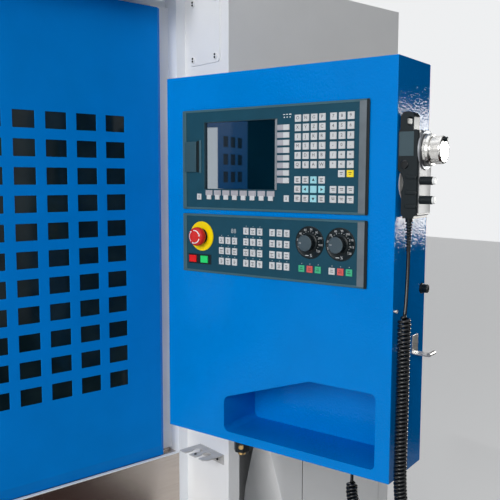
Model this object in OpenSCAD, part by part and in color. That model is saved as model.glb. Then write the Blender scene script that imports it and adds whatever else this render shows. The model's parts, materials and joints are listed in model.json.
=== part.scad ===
// Vertical machining center: a C-frame mill with a sheet-metal enclosure, a sliding
// perforated door, a swinging control cabinet and an umbrella tool magazine.
// X runs to the right, Y into the machine, Z up. The origin is on the floor, in the middle.

/* [Machine] */
// Overall width of the enclosure
mach_w = 2200; // [2100:10:2600]
// Depth from the door's face to the back of the electrical cabinet
mach_d = 1665; // [1600:5:1800]
// Height of the enclosure's upper edge
wall_h = 2000; // [1960:10:2200]
// Thickness of the enclosure's sheet metal
sheet = 3; // [2:0.5:4]
// Height of the levelling feet
foot_h = 60; // [50:1:90]
// Height of the bed's rail seats above the floor
bed_top = 520; // [480:5:560]
// Half width of the bed casting
bed_half = 400; // [340:10:430]
// Distance from the spindle axis to the column's face
throat = 500; // [480:5:560]
// Height of the column's top above the floor
column_top = 2010; // [2005:5:2060]

/* [Slides] */
// Width of the linear rails
rail_w = 34; // [28:1:40]
// Height of the linear rails
rail_h = 29; // [24:1:34]
// Air left between a rail and its carriage
slide_gap = 0.4; // [0.3:0.05:0.6]
// Diameter of the ball screws
screw_d = 32; // [25:1:36]
// Radial play of shafts in their bearings
bearing_play = 0.05; // [0.02:0.01:0.1]
// Length of the table along X
table_l = 800; // [700:10:860]
// Depth of the table along Y
table_d = 400; // [360:10:420]
// Thickness of the table's casting
table_h = 105; // [90:1:130]
// Width of the T-slots
slot_w = 18; // [14:1:22]
// Distance between the T-slots
slot_pitch = 125; // [90:5:130]

/* [Spindle] */
// Height of the spindle nose above the floor, slide at rest
nose_z = 1380; // [1376:1:1400]
// Diameter of the spindle's cartridge
quill_d = 130; // [110:1:140]
// Diameter of the spindle's pulley
pulley_d = 150; // [120:1:170]
// Diameter of the motor's pulley
motor_pulley_d = 110; // [90:1:130]
// Distance between the spindle and its motor
belt_reach = 230; // [215:1:245]

/* [Tool magazine] */
// Number of pockets in the carousel
pockets = 16; // [12:1:18]
// Radius of the pocket circle
pocket_r = 300; // [290:1:310]
// Distance from the spindle axis to the parked carousel's axis
carousel_x = 650; // [650:5:680]

/* [Door] */
// Width of the sliding door
door_w = 900; // [895:1:910]
// Depth of the door's folded edges
door_t = 36; // [30:1:40]
// Number of window columns in the door
window_cols = 9; // [4:1:9]
// Number of window rows in the door
window_rows = 11; // [5:1:11]
// Width of one window cell
cell_w = 50; // [40:1:60]
// Height of one window cell
cell_h = 38; // [30:1:46]
// Distance between window columns
cell_pitch_x = 75; // [70:1:76]
// Distance between window rows
cell_pitch_z = 62; // [56:1:64]

// Length of the door's pull
handle_l = 600; // [300:10:700]
// Width of the door's pull
handle_w = 50; // [44:1:60]

/* [Control cabinet] */
// Width of the control cabinet
cab_w = 519; // [515:1:540]
// Depth of the control cabinet
cab_d = 138; // [130:1:145]
// Height of the control cabinet
cab_h = 742; // [735:1:760]
// Height of the cabinet's lower edge above the floor
cab_z = 983; // [978:1:990]
// Angle that the cabinet is swung away from facing the operator
cab_swing = 76.43; // [60:0.01:85]
// Sheet thickness of the cabinet
cab_sheet = 2; // [1.5:0.1:2.5]
// Width of both panels in the cabinet
panel_w = 424; // [416:1:430]
// Height of the operator panel
panel_h = 200; // [196:1:206]
// Height of the machine panel
machine_h = 120; // [116:1:124]
// Diameter of the two override dials' knobs
knob_d = 36; // [30:1:40]
// Diameter of the emergency stop's head
estop_d = 38; // [34:1:44]
// Travel of the emergency stop
estop_travel = 6; // [4:0.5:8]

/* [Pendant] */
// Width of the hand-held pendant
pendant_w = 58; // [44:1:62]
// Thickness of the pendant's body
pendant_t = 34; // [28:1:38]
// Diameter of the pendant's scale ring
ring_d = 66; // [56:1:68]
// Outer diameter of the curly cord
coil_d = 24; // [18:1:28]
// Diameter of the cord itself
wire_d = 6.5; // [5:0.1:8]

/* [Hidden] */

white = [0.78, 0.79, 0.80];
blue = [0.0, 0.44, 0.78];
door_blue = [0.0, 0.37, 0.69];
cast = [0.62, 0.66, 0.66];
steel = [0.75, 0.76, 0.78];
dark = [0.13, 0.14, 0.15];
slate = [0.12, 0.27, 0.35];
key_grey = [0.80, 0.82, 0.83];

right = mach_w / 2;
axis_y = 100;                      // the spindle axis stands at X 0
column_face = axis_y + throat;
door_face = -440;                  // outer plane of the door
step_face = -615;                  // outer plane of the right-hand housing
inner_face = -388;                 // front panels behind the door
jamb_x = 439;                      // door jamb's left face
side_x = 466;                      // housing's side face beside the door
sill_z = 793;                      // top of the sill under the door
rail_gauge = 230;                  // Y rails from the middle
gauge_x = 130;                     // X rails from the table's middle
gauge_z = 190;                     // Z rails from the middle
block_h = rail_h + 19;             // rail seat to carriage top
saddle_z = bed_top + block_h;      // saddle's underside
saddle_top = saddle_z + 112;
table_z = saddle_top + block_h;    // table's underside
table_top = table_z + table_h;
saddle_half = 520;
screw_y_z = saddle_z - 12;         // heights of the screws' axes
screw_x_z = table_z - 60;
screw_z_y = column_face + 20;
head_z = nose_z + 100;             // head casting's underside
head_top = head_z + 450;
deck_z = head_top + 70;            // motor deck above the belt
track_z = wall_h;                  // underside of the door's track
pivot_x = 438;                     // control cabinet's swing axis
pivot_y = -701;
gripper_z = nose_z - 30;           // underside of the carousel's disc
rod_z = [head_z + 110, head_z + 190];
rod_y = 450;
fit = 2 * bearing_play;
tank_top = 330;
rear_x0 = 470;                     // electrical cabinet behind the column
rear_x1 = 1060;
rear_y = door_face + mach_d;        // back of the electrical cabinet

module box(x0, x1, y0, y1, z0, z1) {
  translate([x0, y0, z0]) cube([x1 - x0, y1 - y0, z1 - z0]);
}
module post_z(x, y, z0, z1, d) {
  translate([x, y, z0]) cylinder(d = d, h = z1 - z0, $fn = 48);
}
module rod_along_x(x0, x1, y, z, d) {
  translate([x0, y, z]) rotate([0, 90, 0]) cylinder(d = d, h = x1 - x0, $fn = 48);
}
module rod_along_y(x, y0, y1, z, d) {
  translate([x, y1, z]) rotate([90, 0, 0]) cylinder(d = d, h = y1 - y0, $fn = 48);
}
// An outline in X and Z, carried through Y from y0 to y1.
module through_y(y0, y1) {
  translate([0, y1, 0]) rotate([90, 0, 0]) linear_extrude(y1 - y0) children();
}
// An outline in Y and Z, carried through X from x0 to x1.
module through_x(x0, x1) {
  translate([x0, 0, 0]) rotate([90, 0, 90]) linear_extrude(x1 - x0) children();
}
module rounded(x0, x1, y0, y1, r) {
  translate([x0 + r, y0]) square([x1 - x0 - 2 * r, y1 - y0]);
  translate([x0, y0 + r]) square([x1 - x0, y1 - y0 - 2 * r]);
  for (x = [x0 + r, x1 - r], y = [y0 + r, y1 - r]) translate([x, y]) circle(r, $fn = 32);
}
module mirrored_x() {
  children();
  mirror([1, 0, 0]) children();
}
// Section of a linear rail, standing on its seat.
module rail_section() {
  difference() {
    translate([-rail_w / 2, 0]) square([rail_w, rail_h]);
    for (s = [-1, 1]) translate([s * rail_w / 2, rail_h * 0.66]) circle(4, $fn = 20);
  }
}
// Section of the carriage that rides on such a rail; its top lies at block_h.
module carriage_section() {
  difference() {
    translate([-rail_w, 7]) square([2 * rail_w, block_h - 7]);
    translate([-rail_w / 2 - slide_gap, 0]) square([rail_w + 2 * slide_gap, rail_h + slide_gap]);
  }
}
module rail(l) { through_y(0, l) rail_section(); }
module carriage(l) { through_y(0, l) carriage_section(); }
// The same on an upright face that looks to the front.
module upright_rail(l) { linear_extrude(l) mirror([0, 1]) rail_section(); }
module upright_carriage(l) { linear_extrude(l) mirror([0, 1]) carriage_section(); }
// Servo motor with its flange at the origin, its body along +Z.
module servo(size, l) {
  difference() {
    linear_extrude(l) rounded(-size / 2, size / 2, -size / 2, size / 2, size * 0.12);
    translate([0, 0, -1]) cylinder(d = 25 + fit, h = 41, $fn = 48);
  }
  translate([-size * 0.28, size / 2, l * 0.62]) cube([size * 0.56, 26, l * 0.2]);
}

// ---------- castings and drives ----------

module bed() {
  color(cast) difference() {
    union() {
      through_x(-bed_half, bed_half) polygon([[-380, 200], [-340, foot_h], [1130, foot_h],
        [1130, bed_top], [column_face - 20, bed_top], [column_face - 20, bed_top - 40],
        [-380, bed_top - 40]]);
      mirrored_x() box(rail_gauge - 45, rail_gauge + 45, -340, column_face - 20,
        bed_top - 41, bed_top);
      box(-60, 60, -380, -335, bed_top - 41, screw_y_z + 30);
      box(-60, 60, column_face - 20, column_face + 40, bed_top - 41, screw_y_z + 30);
    }
    rod_along_y(0, -381, column_face + 41, screw_y_z, 25 + fit);
    box(-75, 75, column_face + 40, column_face + 260, bed_top - 50, bed_top + 100);
    for (s = [-1, 1], y = [-200, 130, 460])
      translate([s * (bed_half + 1), y, 150]) through_x(-25, 25) rounded(0, 200, 0, 170, 40);
  }
}

module levelling_feet() {
  color(dark) for (x = [-bed_half + 30, bed_half - 30], y = [-300, 180, 640, 1085]) {
    translate([x, y, 0]) cylinder(d = 90, h = 18, $fn = 40);
    translate([x, y, 18]) cylinder(d = 30, h = foot_h - 18, $fn = 24);
    translate([x, y, foot_h - 14]) cylinder(d = 46, h = 13, $fn = 6);
  }
}

module column() {
  color(cast) difference() {
    union() {
      intersection() {
        through_y(column_face, 1130) polygon([[-330, bed_top], [330, bed_top], [330, 760],
          [260, 1100], [260, column_top], [-260, column_top], [-260, 1100], [-330, 760]]);
        through_x(-331, 331) polygon([[column_face, bed_top], [1130, bed_top], [1130, 900],
          [960, column_top], [column_face, column_top]]);
      }
      box(-70, 70, screw_z_y - 65, column_face + 1, column_top - 65, column_top);
    }
    through_y(column_face - 1, 1131) polygon([[-130, bed_top - 1], [130, bed_top - 1],
      [130, 720], [70, 800], [-70, 800], [-130, 720]]);
    difference() {
      box(-120, 120, column_face - 1, column_face + 100, 870, column_top - 65);
      box(-55, 55, column_face - 10, column_face + 101, 870, 950);
    }
    post_z(0, screw_z_y, 869, column_top + 1, 25 + fit);
    mirrored_x() for (z = [980, 1300, 1620])
      through_x(235, 340) rounded(column_face + 120, column_face + 270, z, z + 200, 40);
  }
}

module y_rails() {
  color(steel) for (x = [-rail_gauge, rail_gauge])
    translate([x, -340, bed_top]) rail(column_face + 310);
}

module z_rails() {
  color(steel) for (x = [-gauge_z, gauge_z])
    translate([x, column_face, 890]) upright_rail(column_top - 900);
}

module y_motor() {
  color(dark) translate([0, column_face + 40, screw_y_z]) rotate([-90, 0, 0]) servo(110, 200);
}
module z_motor() {
  color(dark) translate([0, screw_z_y, column_top]) servo(130, 210);
}
module x_motor() {
  color(dark) translate([-saddle_half, axis_y, screw_x_z]) rotate([0, -90, 0]) servo(110, 190);
}

module saddle() {
  color(cast) {
    difference() {
      union() {
        through_y(axis_y - 230, axis_y + 230) polygon([[-saddle_half, saddle_z + 60],
          [-300, saddle_z], [300, saddle_z], [saddle_half, saddle_z + 60],
          [saddle_half, saddle_top], [-saddle_half, saddle_top]]);
        for (s = [-1, 1]) translate([s * (saddle_half - 20), 0, 0])
          box(-20, 20, axis_y - 40, axis_y + 40, saddle_top - 1, screw_x_z + 28);
        box(-50, 50, axis_y - 60, axis_y + 60, screw_y_z - 28, saddle_z + 1);
      }
      rod_along_x(-saddle_half - 1, saddle_half + 1, axis_y, screw_x_z, 25 + fit);
      rod_along_y(0, axis_y - 231, axis_y + 231, screw_y_z, screw_d + fit);
      box(-saddle_half + 40, saddle_half - 40, axis_y - 70, axis_y + 70,
        screw_x_z - 34, saddle_top + 1);
    }
    for (x = [-rail_gauge, rail_gauge], y = [axis_y - 225, axis_y + 115])
      translate([x, y, bed_top]) carriage(110);
  }
}
module x_rails() {
  color(steel) for (s = [-1, 1]) translate([-saddle_half, axis_y + s * gauge_x, saddle_top])
    rotate([0, 0, -90]) rail(2 * saddle_half);
}
module t_slot() {
  head = slot_w * 1.7;
  translate([-slot_w / 2, table_h - 34]) square([slot_w, 35]);
  translate([-head / 2, table_h - 36]) square([head, 14]);
}
module table() {
  color(steel) difference() {
    union() {
      translate([-table_l / 2, axis_y, table_z]) through_x(0, table_l) difference() {
        translate([-table_d / 2, 0]) square([table_d, table_h]);
        for (i = [-1, 0, 1]) translate([i * slot_pitch, 0]) t_slot();
        for (s = [-1, 1]) translate([s * table_d / 2, 30]) square([24, 36], center = true);
      }
      for (x = [-190, 80], s = [-1, 1]) translate([x, axis_y + s * gauge_x, saddle_top])
        rotate([0, 0, -90]) carriage(110);
      box(-50, 50, axis_y - 34, axis_y + 34, screw_x_z - 28, table_z + 1);
    }
    rod_along_x(-51, 51, axis_y, screw_x_z, screw_d + fit);
    for (s = [-1, 1]) box(s * 120 - 50, s * 120 + 50, axis_y - 60, axis_y + 60,
      table_z - 1, table_z + 40);
  }
}
// Ball screw along Z: journals at both ends, the first reaches into the motor.
module ball_screw(l, journal) {
  color(steel) {
    translate([0, 0, -39]) cylinder(d = 25, h = journal + 39, $fn = 48);
    translate([0, 0, journal]) cylinder(d = screw_d, h = l - 2 * journal, $fn = 48);
    translate([0, 0, l - journal]) cylinder(d = 25, h = journal, $fn = 48);
  }
}
module x_screw() {
  translate([-saddle_half, axis_y, screw_x_z]) rotate([0, 90, 0])
    ball_screw(2 * saddle_half, 40 + slide_gap);
}
module y_screw() {
  translate([0, column_face + 40, screw_y_z]) rotate([90, 0, 0])
    ball_screw(column_face + 420, 60 + slide_gap);
}
module z_screw() {
  translate([0, screw_z_y, column_top]) rotate([180, 0, 0])
    ball_screw(column_top - 870, 80 + slide_gap);
}

// ---------- head and spindle ----------

module spindle_head() {
  color(white) {
    difference() {
      union() {
        through_x(-150, 150) polygon([[axis_y - 160, head_z + 40], [axis_y - 130, head_z],
          [380, head_z], [column_face - 100, head_z - 80], [column_face - 48, head_z - 80],
          [column_face - 48, head_top], [axis_y - 160, head_top]]);
        box(-225, 225, column_face - 100, column_face - 48, head_z - 90, head_top + 30);
        box(-50, 50, column_face - 60, screw_z_y + 35, head_z + 80, head_z + 180);
        post_z(0, axis_y, nose_z + 4, head_z + 1, quill_d);
        post_z(0, axis_y, head_z - 20, head_z + 1, 170);
        difference() {
          box(-150, 150, axis_y + 90, column_face - 60, head_top - 1, deck_z);
          box(-130, 130, axis_y + 89, column_face - 80, head_top, deck_z + 1);
        }
        difference() {
          box(-150, 150, axis_y - 90, column_face - 60, deck_z, deck_z + 20);
          post_z(0, axis_y + belt_reach, deck_z - 1, deck_z + 21, 120);
        }
        for (x = [-150, 120]) box(x, x + 30, axis_y - 90, axis_y - 60, head_top - 1, deck_z + 1);
        post_z(0, axis_y, deck_z + 19, deck_z + 140, 130);
        post_z(0, axis_y, deck_z + 139, deck_z + 160, 60);
      }
      post_z(0, axis_y, nose_z, head_top + 1, 70 + fit);
      post_z(0, screw_z_y, head_z + 79, head_z + 181, screw_d + fit);
    }
    for (x = [-gauge_z, gauge_z], z = [head_z - 80, head_top - 90])
      translate([x, column_face, z]) upright_carriage(110);
  }
}
module spindle_motor() {
  color(dark) translate([0, axis_y + belt_reach, deck_z + 20]) {
    difference() {
      union() {
        linear_extrude(18) rounded(-100, 100, -100, 100, 14);
        translate([0, 0, 18]) cylinder(d = 186, h = 282, $fn = 64);
        for (a = [0:15:345]) rotate([0, 0, a]) translate([90, -2, 40]) cube([8, 4, 220]);
        translate([0, 0, 300]) cylinder(d = 170, h = 40, $fn = 64);
      }
      translate([0, 0, -1]) cylinder(d = 38 + fit, h = 61, $fn = 48);
    }
    translate([-60, 92, 190]) cube([120, 40, 80]);
  }
}
module pulley(d) {
  difference() {
    cylinder(d = d, h = 40, $fn = 64);
    translate([0, 0, 4]) difference() {
      cylinder(d = d + 2, h = 32, $fn = 64);
      translate([0, 0, -1]) cylinder(d = d - 6, h = 34, $fn = 64);
    }
  }
}
module spindle() {
  color(steel) translate([0, axis_y, 0]) {
    difference() {
      union() {
        translate([0, 0, nose_z - 1]) cylinder(d = 88, h = 4.6, $fn = 64);
        translate([0, 0, nose_z + 3]) cylinder(d = 70, h = head_top - nose_z + 10, $fn = 64);
        for (s = [-1, 1]) translate([s * 34 - 8, -8, nose_z - 5]) cube([16, 16, 5]);
      }
      translate([0, 0, nose_z - 2]) rotate_extrude($fn = 64)
        polygon([[0, 0], [22.5, 0], [12.7, 68], [12.7, 110], [0, 110]]);
    }
    translate([0, 0, head_top + 13]) pulley(pulley_d);
  }
}
module motor_pulley() {
  color(steel) translate([0, axis_y + belt_reach, head_top + 13]) {
    pulley(motor_pulley_d);
    translate([0, 0, 40]) cylinder(d = 38, h = deck_z - head_top + 20, $fn = 48);
  }
}
module belt_outline(grow) {
  hull() {
    circle(d = pulley_d - 6 + grow, $fn = 64);
    translate([0, belt_reach]) circle(d = motor_pulley_d - 6 + grow, $fn = 64);
  }
}
module drive_belt() {
  color(dark) translate([0, axis_y, head_top + 18]) linear_extrude(30) difference() {
    belt_outline(10);
    belt_outline(0.8);
  }
}
module head_cover() {
  cover_x = 175;
  front = axis_y - 188;
  color(white) translate([0, 0, head_z + 20]) {
    difference() {
      linear_extrude(deck_z + 170 - head_z) rounded_cover(cover_x, front, 0);
      translate([0, 0, -1]) linear_extrude(deck_z) rounded_cover(cover_x, front, 2);
    }
    for (s = [-1, 1], z = [80, 330]) translate([s * 161.5, axis_y + 60, z])
      cube([23, 60, 20], center = true);
  }
}
module rounded_cover(cover_x, front, inset) {
  rounded(-cover_x + inset, cover_x - inset, front + inset, front + 200, 30 - inset);
  translate([-cover_x + inset, front + 100])
    square([2 * (cover_x - inset), column_face - 110 - front - 100 + inset]);
}

// ---------- tool magazine ----------

module magazine_bracket() {
  color(cast) difference() {
    union() {
      box(-950, -262, 500, column_face - 20, rod_z[0] - 50, rod_z[1] + 50);
      box(-330, -260, column_face - 40, column_face + 150, rod_z[0] - 50, rod_z[1] + 50);
      for (x = [[-950, -920], [-280, -262]])
        box(x[0], x[1], rod_y - 30, 501, rod_z[0] - 30, rod_z[1] + 30);
    }
    through_y(499, 520) for (i = [0:3])
      rounded(-900 + i * 145, -790 + i * 145, rod_z[0] - 20, rod_z[1] + 20, 20);
  }
  color(steel) for (z = rod_z) rod_along_x(-935, -270, rod_y, z, 30);
}
module magazine_carriage() {
  color(cast) difference() {
    union() {
      box(-carousel_x - 140, -carousel_x + 10, rod_y - 40, rod_y + 40, rod_z[0] - 30,
        rod_z[1] + 30);
      box(-carousel_x - 80, -carousel_x + 80, axis_y - 80, rod_y - 39, rod_z[0] - 20, rod_z[0] + 20);
      for (s = [-80, -30]) translate([-carousel_x + s, 0, 0]) through_x(0, 10)
        polygon([[axis_y + 40, rod_z[0] + 19], [rod_y - 39, rod_z[0] + 19], [rod_y - 39, rod_z[1] + 30]]);
      post_z(-carousel_x, axis_y, rod_z[0] - 90, rod_z[0] - 19, 120);
      post_z(-carousel_x, axis_y, rod_z[0] + 19, rod_z[0] + 130, 110);
    }
    for (z = rod_z) rod_along_x(-carousel_x - 141, -carousel_x + 11, rod_y, z, 30 + fit);
    post_z(-carousel_x, axis_y, rod_z[0] - 91, rod_z[0] + 60, 50 + fit);
  }
}
module carousel() {
  color(steel) translate([-carousel_x, axis_y, 0]) {
    translate([0, 0, gripper_z]) difference() {
      cylinder(r = pocket_r + 30, h = 16, $fn = 96);
      for (i = [0:pockets - 1]) rotate([0, 0, i * 360 / pockets]) translate([0, 0, -1]) {
        translate([pocket_r, 0, 0]) cylinder(d = 50, h = 18, $fn = 40);
        translate([pocket_r, -25, 0]) cube([40, 50, 18]);
      }
      for (i = [0:7]) rotate([0, 0, i * 45 + 22.5]) translate([150, 0, -1])
        cylinder(d = 70, h = 18, $fn = 32);
    }
    translate([0, 0, gripper_z + 16]) cylinder(d = 150, h = 12, $fn = 48);
    translate([0, 0, gripper_z + 28]) cylinder(d = 50, h = rod_z[0] + 30 - gripper_z, $fn = 48);
  }
}
module tool_holders() {
  color(steel) translate([-carousel_x, axis_y, gripper_z])
    for (i = [1:pockets - 1]) rotate([0, 0, i * 360 / pockets]) translate([pocket_r, 0, 0])
      rotate_extrude($fn = 32) polygon([[0, -80 - 20 * (i % 3)], [10 + i % 4, -80 - 20 * (i % 3)],
        [10 + i % 4, -30], [25, -30], [25, -10], [31.5, -10], [31.5, 0], [24.9, 0], [24.9, 16],
        [31.5, 16], [31.5, 22], [22.2, 22], [12.7, 87], [8, 87], [8, 104], [0, 104]]);
}

// ---------- enclosure ----------

// Side wall folded round to a fixed front panel; inner_x is where that panel ends.
module side_sheet(inner_x) {
  linear_extrude(wall_h - foot_h) polygon([[-right, inner_face], [-inner_x, inner_face],
    [-inner_x, inner_face + sheet], [-right + sheet, inner_face + sheet],
    [-right + sheet, column_face - sheet], [-right + 40, column_face - sheet],
    [-right + 40, column_face], [-right, column_face]]);
}
module left_panel() {
  color(white) difference() {
    translate([0, 0, foot_h]) side_sheet(500);
    through_y(inner_face - 1, inner_face + sheet + 1)
      for (i = [0:side_cols - 1], j = [0:window_rows - 1])
        translate([side_cells_x0 + i * side_pitch, cells_z1 - cell_h - j * cell_pitch_z])
          square([side_cell_w, cell_h]);
  }
}
module right_panel() {
  color(white) translate([0, 0, foot_h]) mirror([1, 0, 0]) side_sheet(side_x);
}
module chip_tray() {
  y0 = inner_face + sheet;
  y1 = column_face - sheet;
  drain_x = (bed_half + right) / 2 - 50;
  color(steel) {
    difference() {
      mirrored_x() {
        through_y(y0, y1 - 2) polygon([[bed_half, bed_top - 90], [right - sheet, bed_top + 60],
          [right - sheet, bed_top + 62], [bed_half, bed_top - 88]]);
        for (y = [y0, y1 - 2]) through_y(y, y + 2) polygon([[bed_half, bed_top - 90],
          [right - sheet, bed_top + 60], [right - sheet, bed_top + 110], [bed_half, bed_top - 40]]);
      }
      box(jamb_x - 1, side_x + 1, y0 - 1, inner_face + 59, bed_top - 91, bed_top + 111);
    }
    difference() {
      post_z(-drain_x, axis_y, tank_top, bed_top - 20, 80);
      post_z(-drain_x, axis_y, tank_top - 1, bed_top - 40, 74);
    }
  }
}
module front_frame() {
  color(white) {
    difference() {
      box(jamb_x, side_x, door_face, inner_face + 58, foot_h, wall_h + 60);
      box(jamb_x + 2, side_x - 2, door_face + 2, inner_face + 56, foot_h - 1, wall_h + 58);
    }
    difference() {
      box(-right, jamb_x, inner_face - 2, inner_face + 58, track_z - 50, wall_h + 60);
      box(-right + 2, jamb_x + 1, inner_face, inner_face + 56, track_z - 48, wall_h + 58);
      box(-right - 1, -500, inner_face - 0.01, inner_face + 59, track_z - 51, wall_h);
    }
  }
  color(steel) difference() {
    box(-right + 20, jamb_x - 20, inner_face - 14, inner_face - 2, track_z, track_z + 20);
    for (z = [track_z, track_z + 20]) rod_along_x(-right, jamb_x, inner_face - 8, z, 5);
  }
}
module apron() {
  color(steel) {
    through_x(-right, jamb_x) polygon([[door_face, foot_h], [door_face + 2, foot_h],
      [door_face + 2, sill_z - 2], [inner_face, sill_z - 2], [inner_face, sill_z],
      [door_face, sill_z]]);
    through_x(-right + 20, jamb_x - 6) polygon([[door_face + door_t + 2, sill_z],
      [door_face + door_t + 5, sill_z], [door_face + door_t + 5, sill_z + 20],
      [door_face + door_t + 2, sill_z + 20]]);
  }
}
module rail_cover() {
  color(white) difference() {
    through_x(-right, 350) polygon([[-515, wall_h - 70], [inner_face - 2, wall_h - 10],
      [inner_face - 2, wall_h + 60], [-505, wall_h + 60], [-515, wall_h + 50]]);
    through_x(-right + 2, 348) polygon([[-513, wall_h - 72], [inner_face - 1, wall_h - 72],
      [inner_face - 1, wall_h + 58], [-504, wall_h + 58], [-513, wall_h + 49]]);
    box(347, 351, inner_face - 16, inner_face - 1, track_z - 2, track_z + 22);
  }
}
module control_housing() {
  color(white) difference() {
    through_y(step_face, inner_face) polygon([[side_x, wall_h], [right, wall_h], [right, 857],
      [side_x + 36, 857], [side_x + 36, 15], [side_x, 15]]);
    through_y(step_face + sheet, inner_face + 1) polygon([[side_x + sheet, wall_h - sheet],
      [right - sheet, wall_h - sheet], [right - sheet, 857 + sheet],
      [side_x + 36 - sheet, 857 + sheet], [side_x + 36 - sheet, 15 + sheet],
      [side_x + sheet, 15 + sheet]]);
  }
}
module lower_housing() {
  color(white) difference() {
    intersection() {
      through_y(step_face, inner_face) polygon([[616, 801], [right, 801], [right, foot_h],
        [720, foot_h], [720, 457], [657, 640]]);
      linear_extrude(802) polygon([[604, step_face + 16.5], [657, step_face], [right + 1, step_face],
        [right + 1, inner_face], [604, inner_face]]);
    }
    intersection() {
      through_y(step_face, inner_face + 1) polygon([[620, 801 - sheet],
        [right - sheet, 801 - sheet], [right - sheet, foot_h + sheet],
        [720 + sheet, foot_h + sheet], [720 + sheet, 456.5], [661, 639]]);
      linear_extrude(802) polygon([[604, step_face + 20], [657.6, step_face + sheet],
        [right + 1, step_face + sheet], [right + 1, inner_face + 2], [604, inner_face + 2]]);
    }
    through_x(600, 719) polygon([[-532, 790], [-424, 584], [-402, 540], [inner_face - 8, 540],
      [inner_face - 8, 790]]);
  }
}
module screw_heads(spots, d, h) {
  for (p = spots) translate([p[0], p[1], 0]) cylinder(d = d, h = h, $fn = 24);
}
module service_cover() {
  color(white) translate([0, step_face, 0]) {
    through_y(-2, 0) rounded(727, 1051, 110, 790, 4);
    translate([0, -2, 0]) rotate([90, 0, 0])
      screw_heads([[744, 130], [1034, 130], [744, 768], [1034, 768]], 12, 4);
  }
}
module access_plate() {
  color(white) {
    through_x(side_x - 3, side_x) rounded(-585, -465, 1797, 1960, 10);
    translate([side_x - 3, 0, 0]) rotate([0, -90, 0])
      screw_heads([for (z = [1811, 1947], y = [-570, -480]) [z, y]], 15, 3);
  }
}
module gun_bracket() {
  top = 828;
  color(steel) {
    translate([0, 0, top - 2.5]) linear_extrude(2.5) difference() {
      polygon([[side_x, -498], [side_x, -598], [side_x - 52, -598], [side_x - 62, -590],
        [side_x - 66, -498]]);
      for (y = [-530, -567]) {
        translate([side_x - 32, y]) circle(d = 24, $fn = 32);
        translate([side_x - 70, y - 6.5]) square([38, 13]);
      }
    }
    difference() {
      box(side_x - 2.5, side_x, -598, -498, top - 26, top - 2.5);
      for (y = [-513.5, -578]) rod_along_x(side_x - 3, side_x + 1, y, top - 14, 7);
    }
    for (y = [-513.5, -578]) rod_along_x(side_x - 6, side_x - 2.5, y, top - 14, 12);
  }
}
module swing_bracket() {
  arms = [cab_z + 20, cab_z + 620];
  color(white) {
    box(480, 560, step_face - 12, step_face, arms[0] - 20, arms[1] + 60);
    for (z = arms) translate([0, 0, z]) difference() {
      linear_extrude(40) {
        polygon([[480, step_face - 12], [560, step_face - 12], [560, step_face - 40],
          [pivot_x + 18, pivot_y - 24], [pivot_x - 18, pivot_y + 24]]);
        translate([pivot_x, pivot_y]) circle(r = 30, $fn = 48);
      }
      post_z(pivot_x, pivot_y, -1, 41, 25);
    }
  }
  color(steel) difference() {
    post_z(pivot_x, pivot_y, cab_z - 78, arms[1] + 55, 25);
    post_z(pivot_x, pivot_y, cab_z - 79, arms[1] + 56, 17);
  }
  color([0.7, 0.55, 0.3]) difference() {
    translate([pivot_x, pivot_y, cab_z - 104]) cylinder(d = 40, h = 34, $fn = 6);
    post_z(pivot_x, pivot_y, cab_z - 78, cab_z - 60, 25);
    post_z(pivot_x, pivot_y, cab_z - 93, cab_z - 77, 17);
  }
}
module rear_cabinet() {
  x0 = rear_x0;
  x1 = rear_x1;
  y0 = column_face + 60;
  y1 = rear_y;
  color(white) {
    difference() {
      union() {
        box(x0, x1, y0, y1, 100, 1800);
        for (z = [600, 1500]) box(z > 1000 ? 260 : 330, x0 + 1, 800, 860, z, z + 60);
        for (x = [x0 + 20, x1 - 80], y = [y0 + 20, y1 - 80]) box(x, x + 60, y, y + 60, 0, 101);
      }
      box(x0 + sheet, x1 - sheet, y0 + sheet, y1 + 1, 100 + sheet, 1800 - sheet);
    }
    for (z = [300, 1500]) difference() {
      union() {
        box(x1 - 6, x1 + 12, y1 - 60, y1 - 2, z, z + 40);
        post_z(x1 + 12, y1 + 8, z, z + 40, 20);
        box(x1 + 2, x1 + 12, y1 - 10, y1 + 8, z, z + 40);
      }
      box(x1 - 7, x1, y1 - 61, y1 + 1, z - 1, z + 41);
      post_z(x1 + 12, y1 + 8, z - 1, z + 41, 10);
    }
  }
  color(steel) for (z = [300, 1500]) post_z(x1 + 12, y1 + 8, z, z + 79, 10);
}
module rear_door() {
  x0 = rear_x0;
  x1 = rear_x1;
  y1 = rear_y + 0.5;
  color(white) difference() {
    union() {
      difference() {
        box(x0, x1, y1, y1 + 18, 100, 1800);
        box(x0 + 2, x1 - 2, y1 - 1, y1 + 16, 102, 1798);
      }
      for (z = [340.5, 1540.5]) {
        post_z(x1 + 12, rear_y + 8, z, z + 38, 20);
        box(x1 - 2, x1 + 12, rear_y + 8, rear_y + 16, z, z + 38);
      }
    }
    for (z = [340.5, 1540.5]) post_z(x1 + 12, rear_y + 8, z - 1, z + 39, 10 + fit);
  }
  color(dark) box(x0 + 30, x0 + 50, y1 + 18, y1 + 30, 900, 1020);
}
module coolant_tank() {
  tank_x0 = -right + 60;
  tank_x1 = -bed_half - 30;
  tank_y0 = inner_face + 58;
  tank_y1 = column_face - 40;
  color(white) {
    translate([0, 0, 60]) linear_extrude(tank_top - 60)
      rounded(tank_x0, tank_x1, tank_y0, tank_y1, 30);
    for (x = [tank_x0 + 50, tank_x1 - 50], y = [tank_y0 + 50, tank_y1 - 50])
      post_z(x, y, 0, 61, 60);
  }
  color(dark) for (y = [tank_y1 - 260, tank_y1 - 90]) {
    post_z(tank_x0 + 100, y, tank_top, tank_top + 15, 130);
    post_z(tank_x0 + 100, y, tank_top + 15, tank_top + 80, 90);
  }
}

// ---------- sliding door ----------

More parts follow.
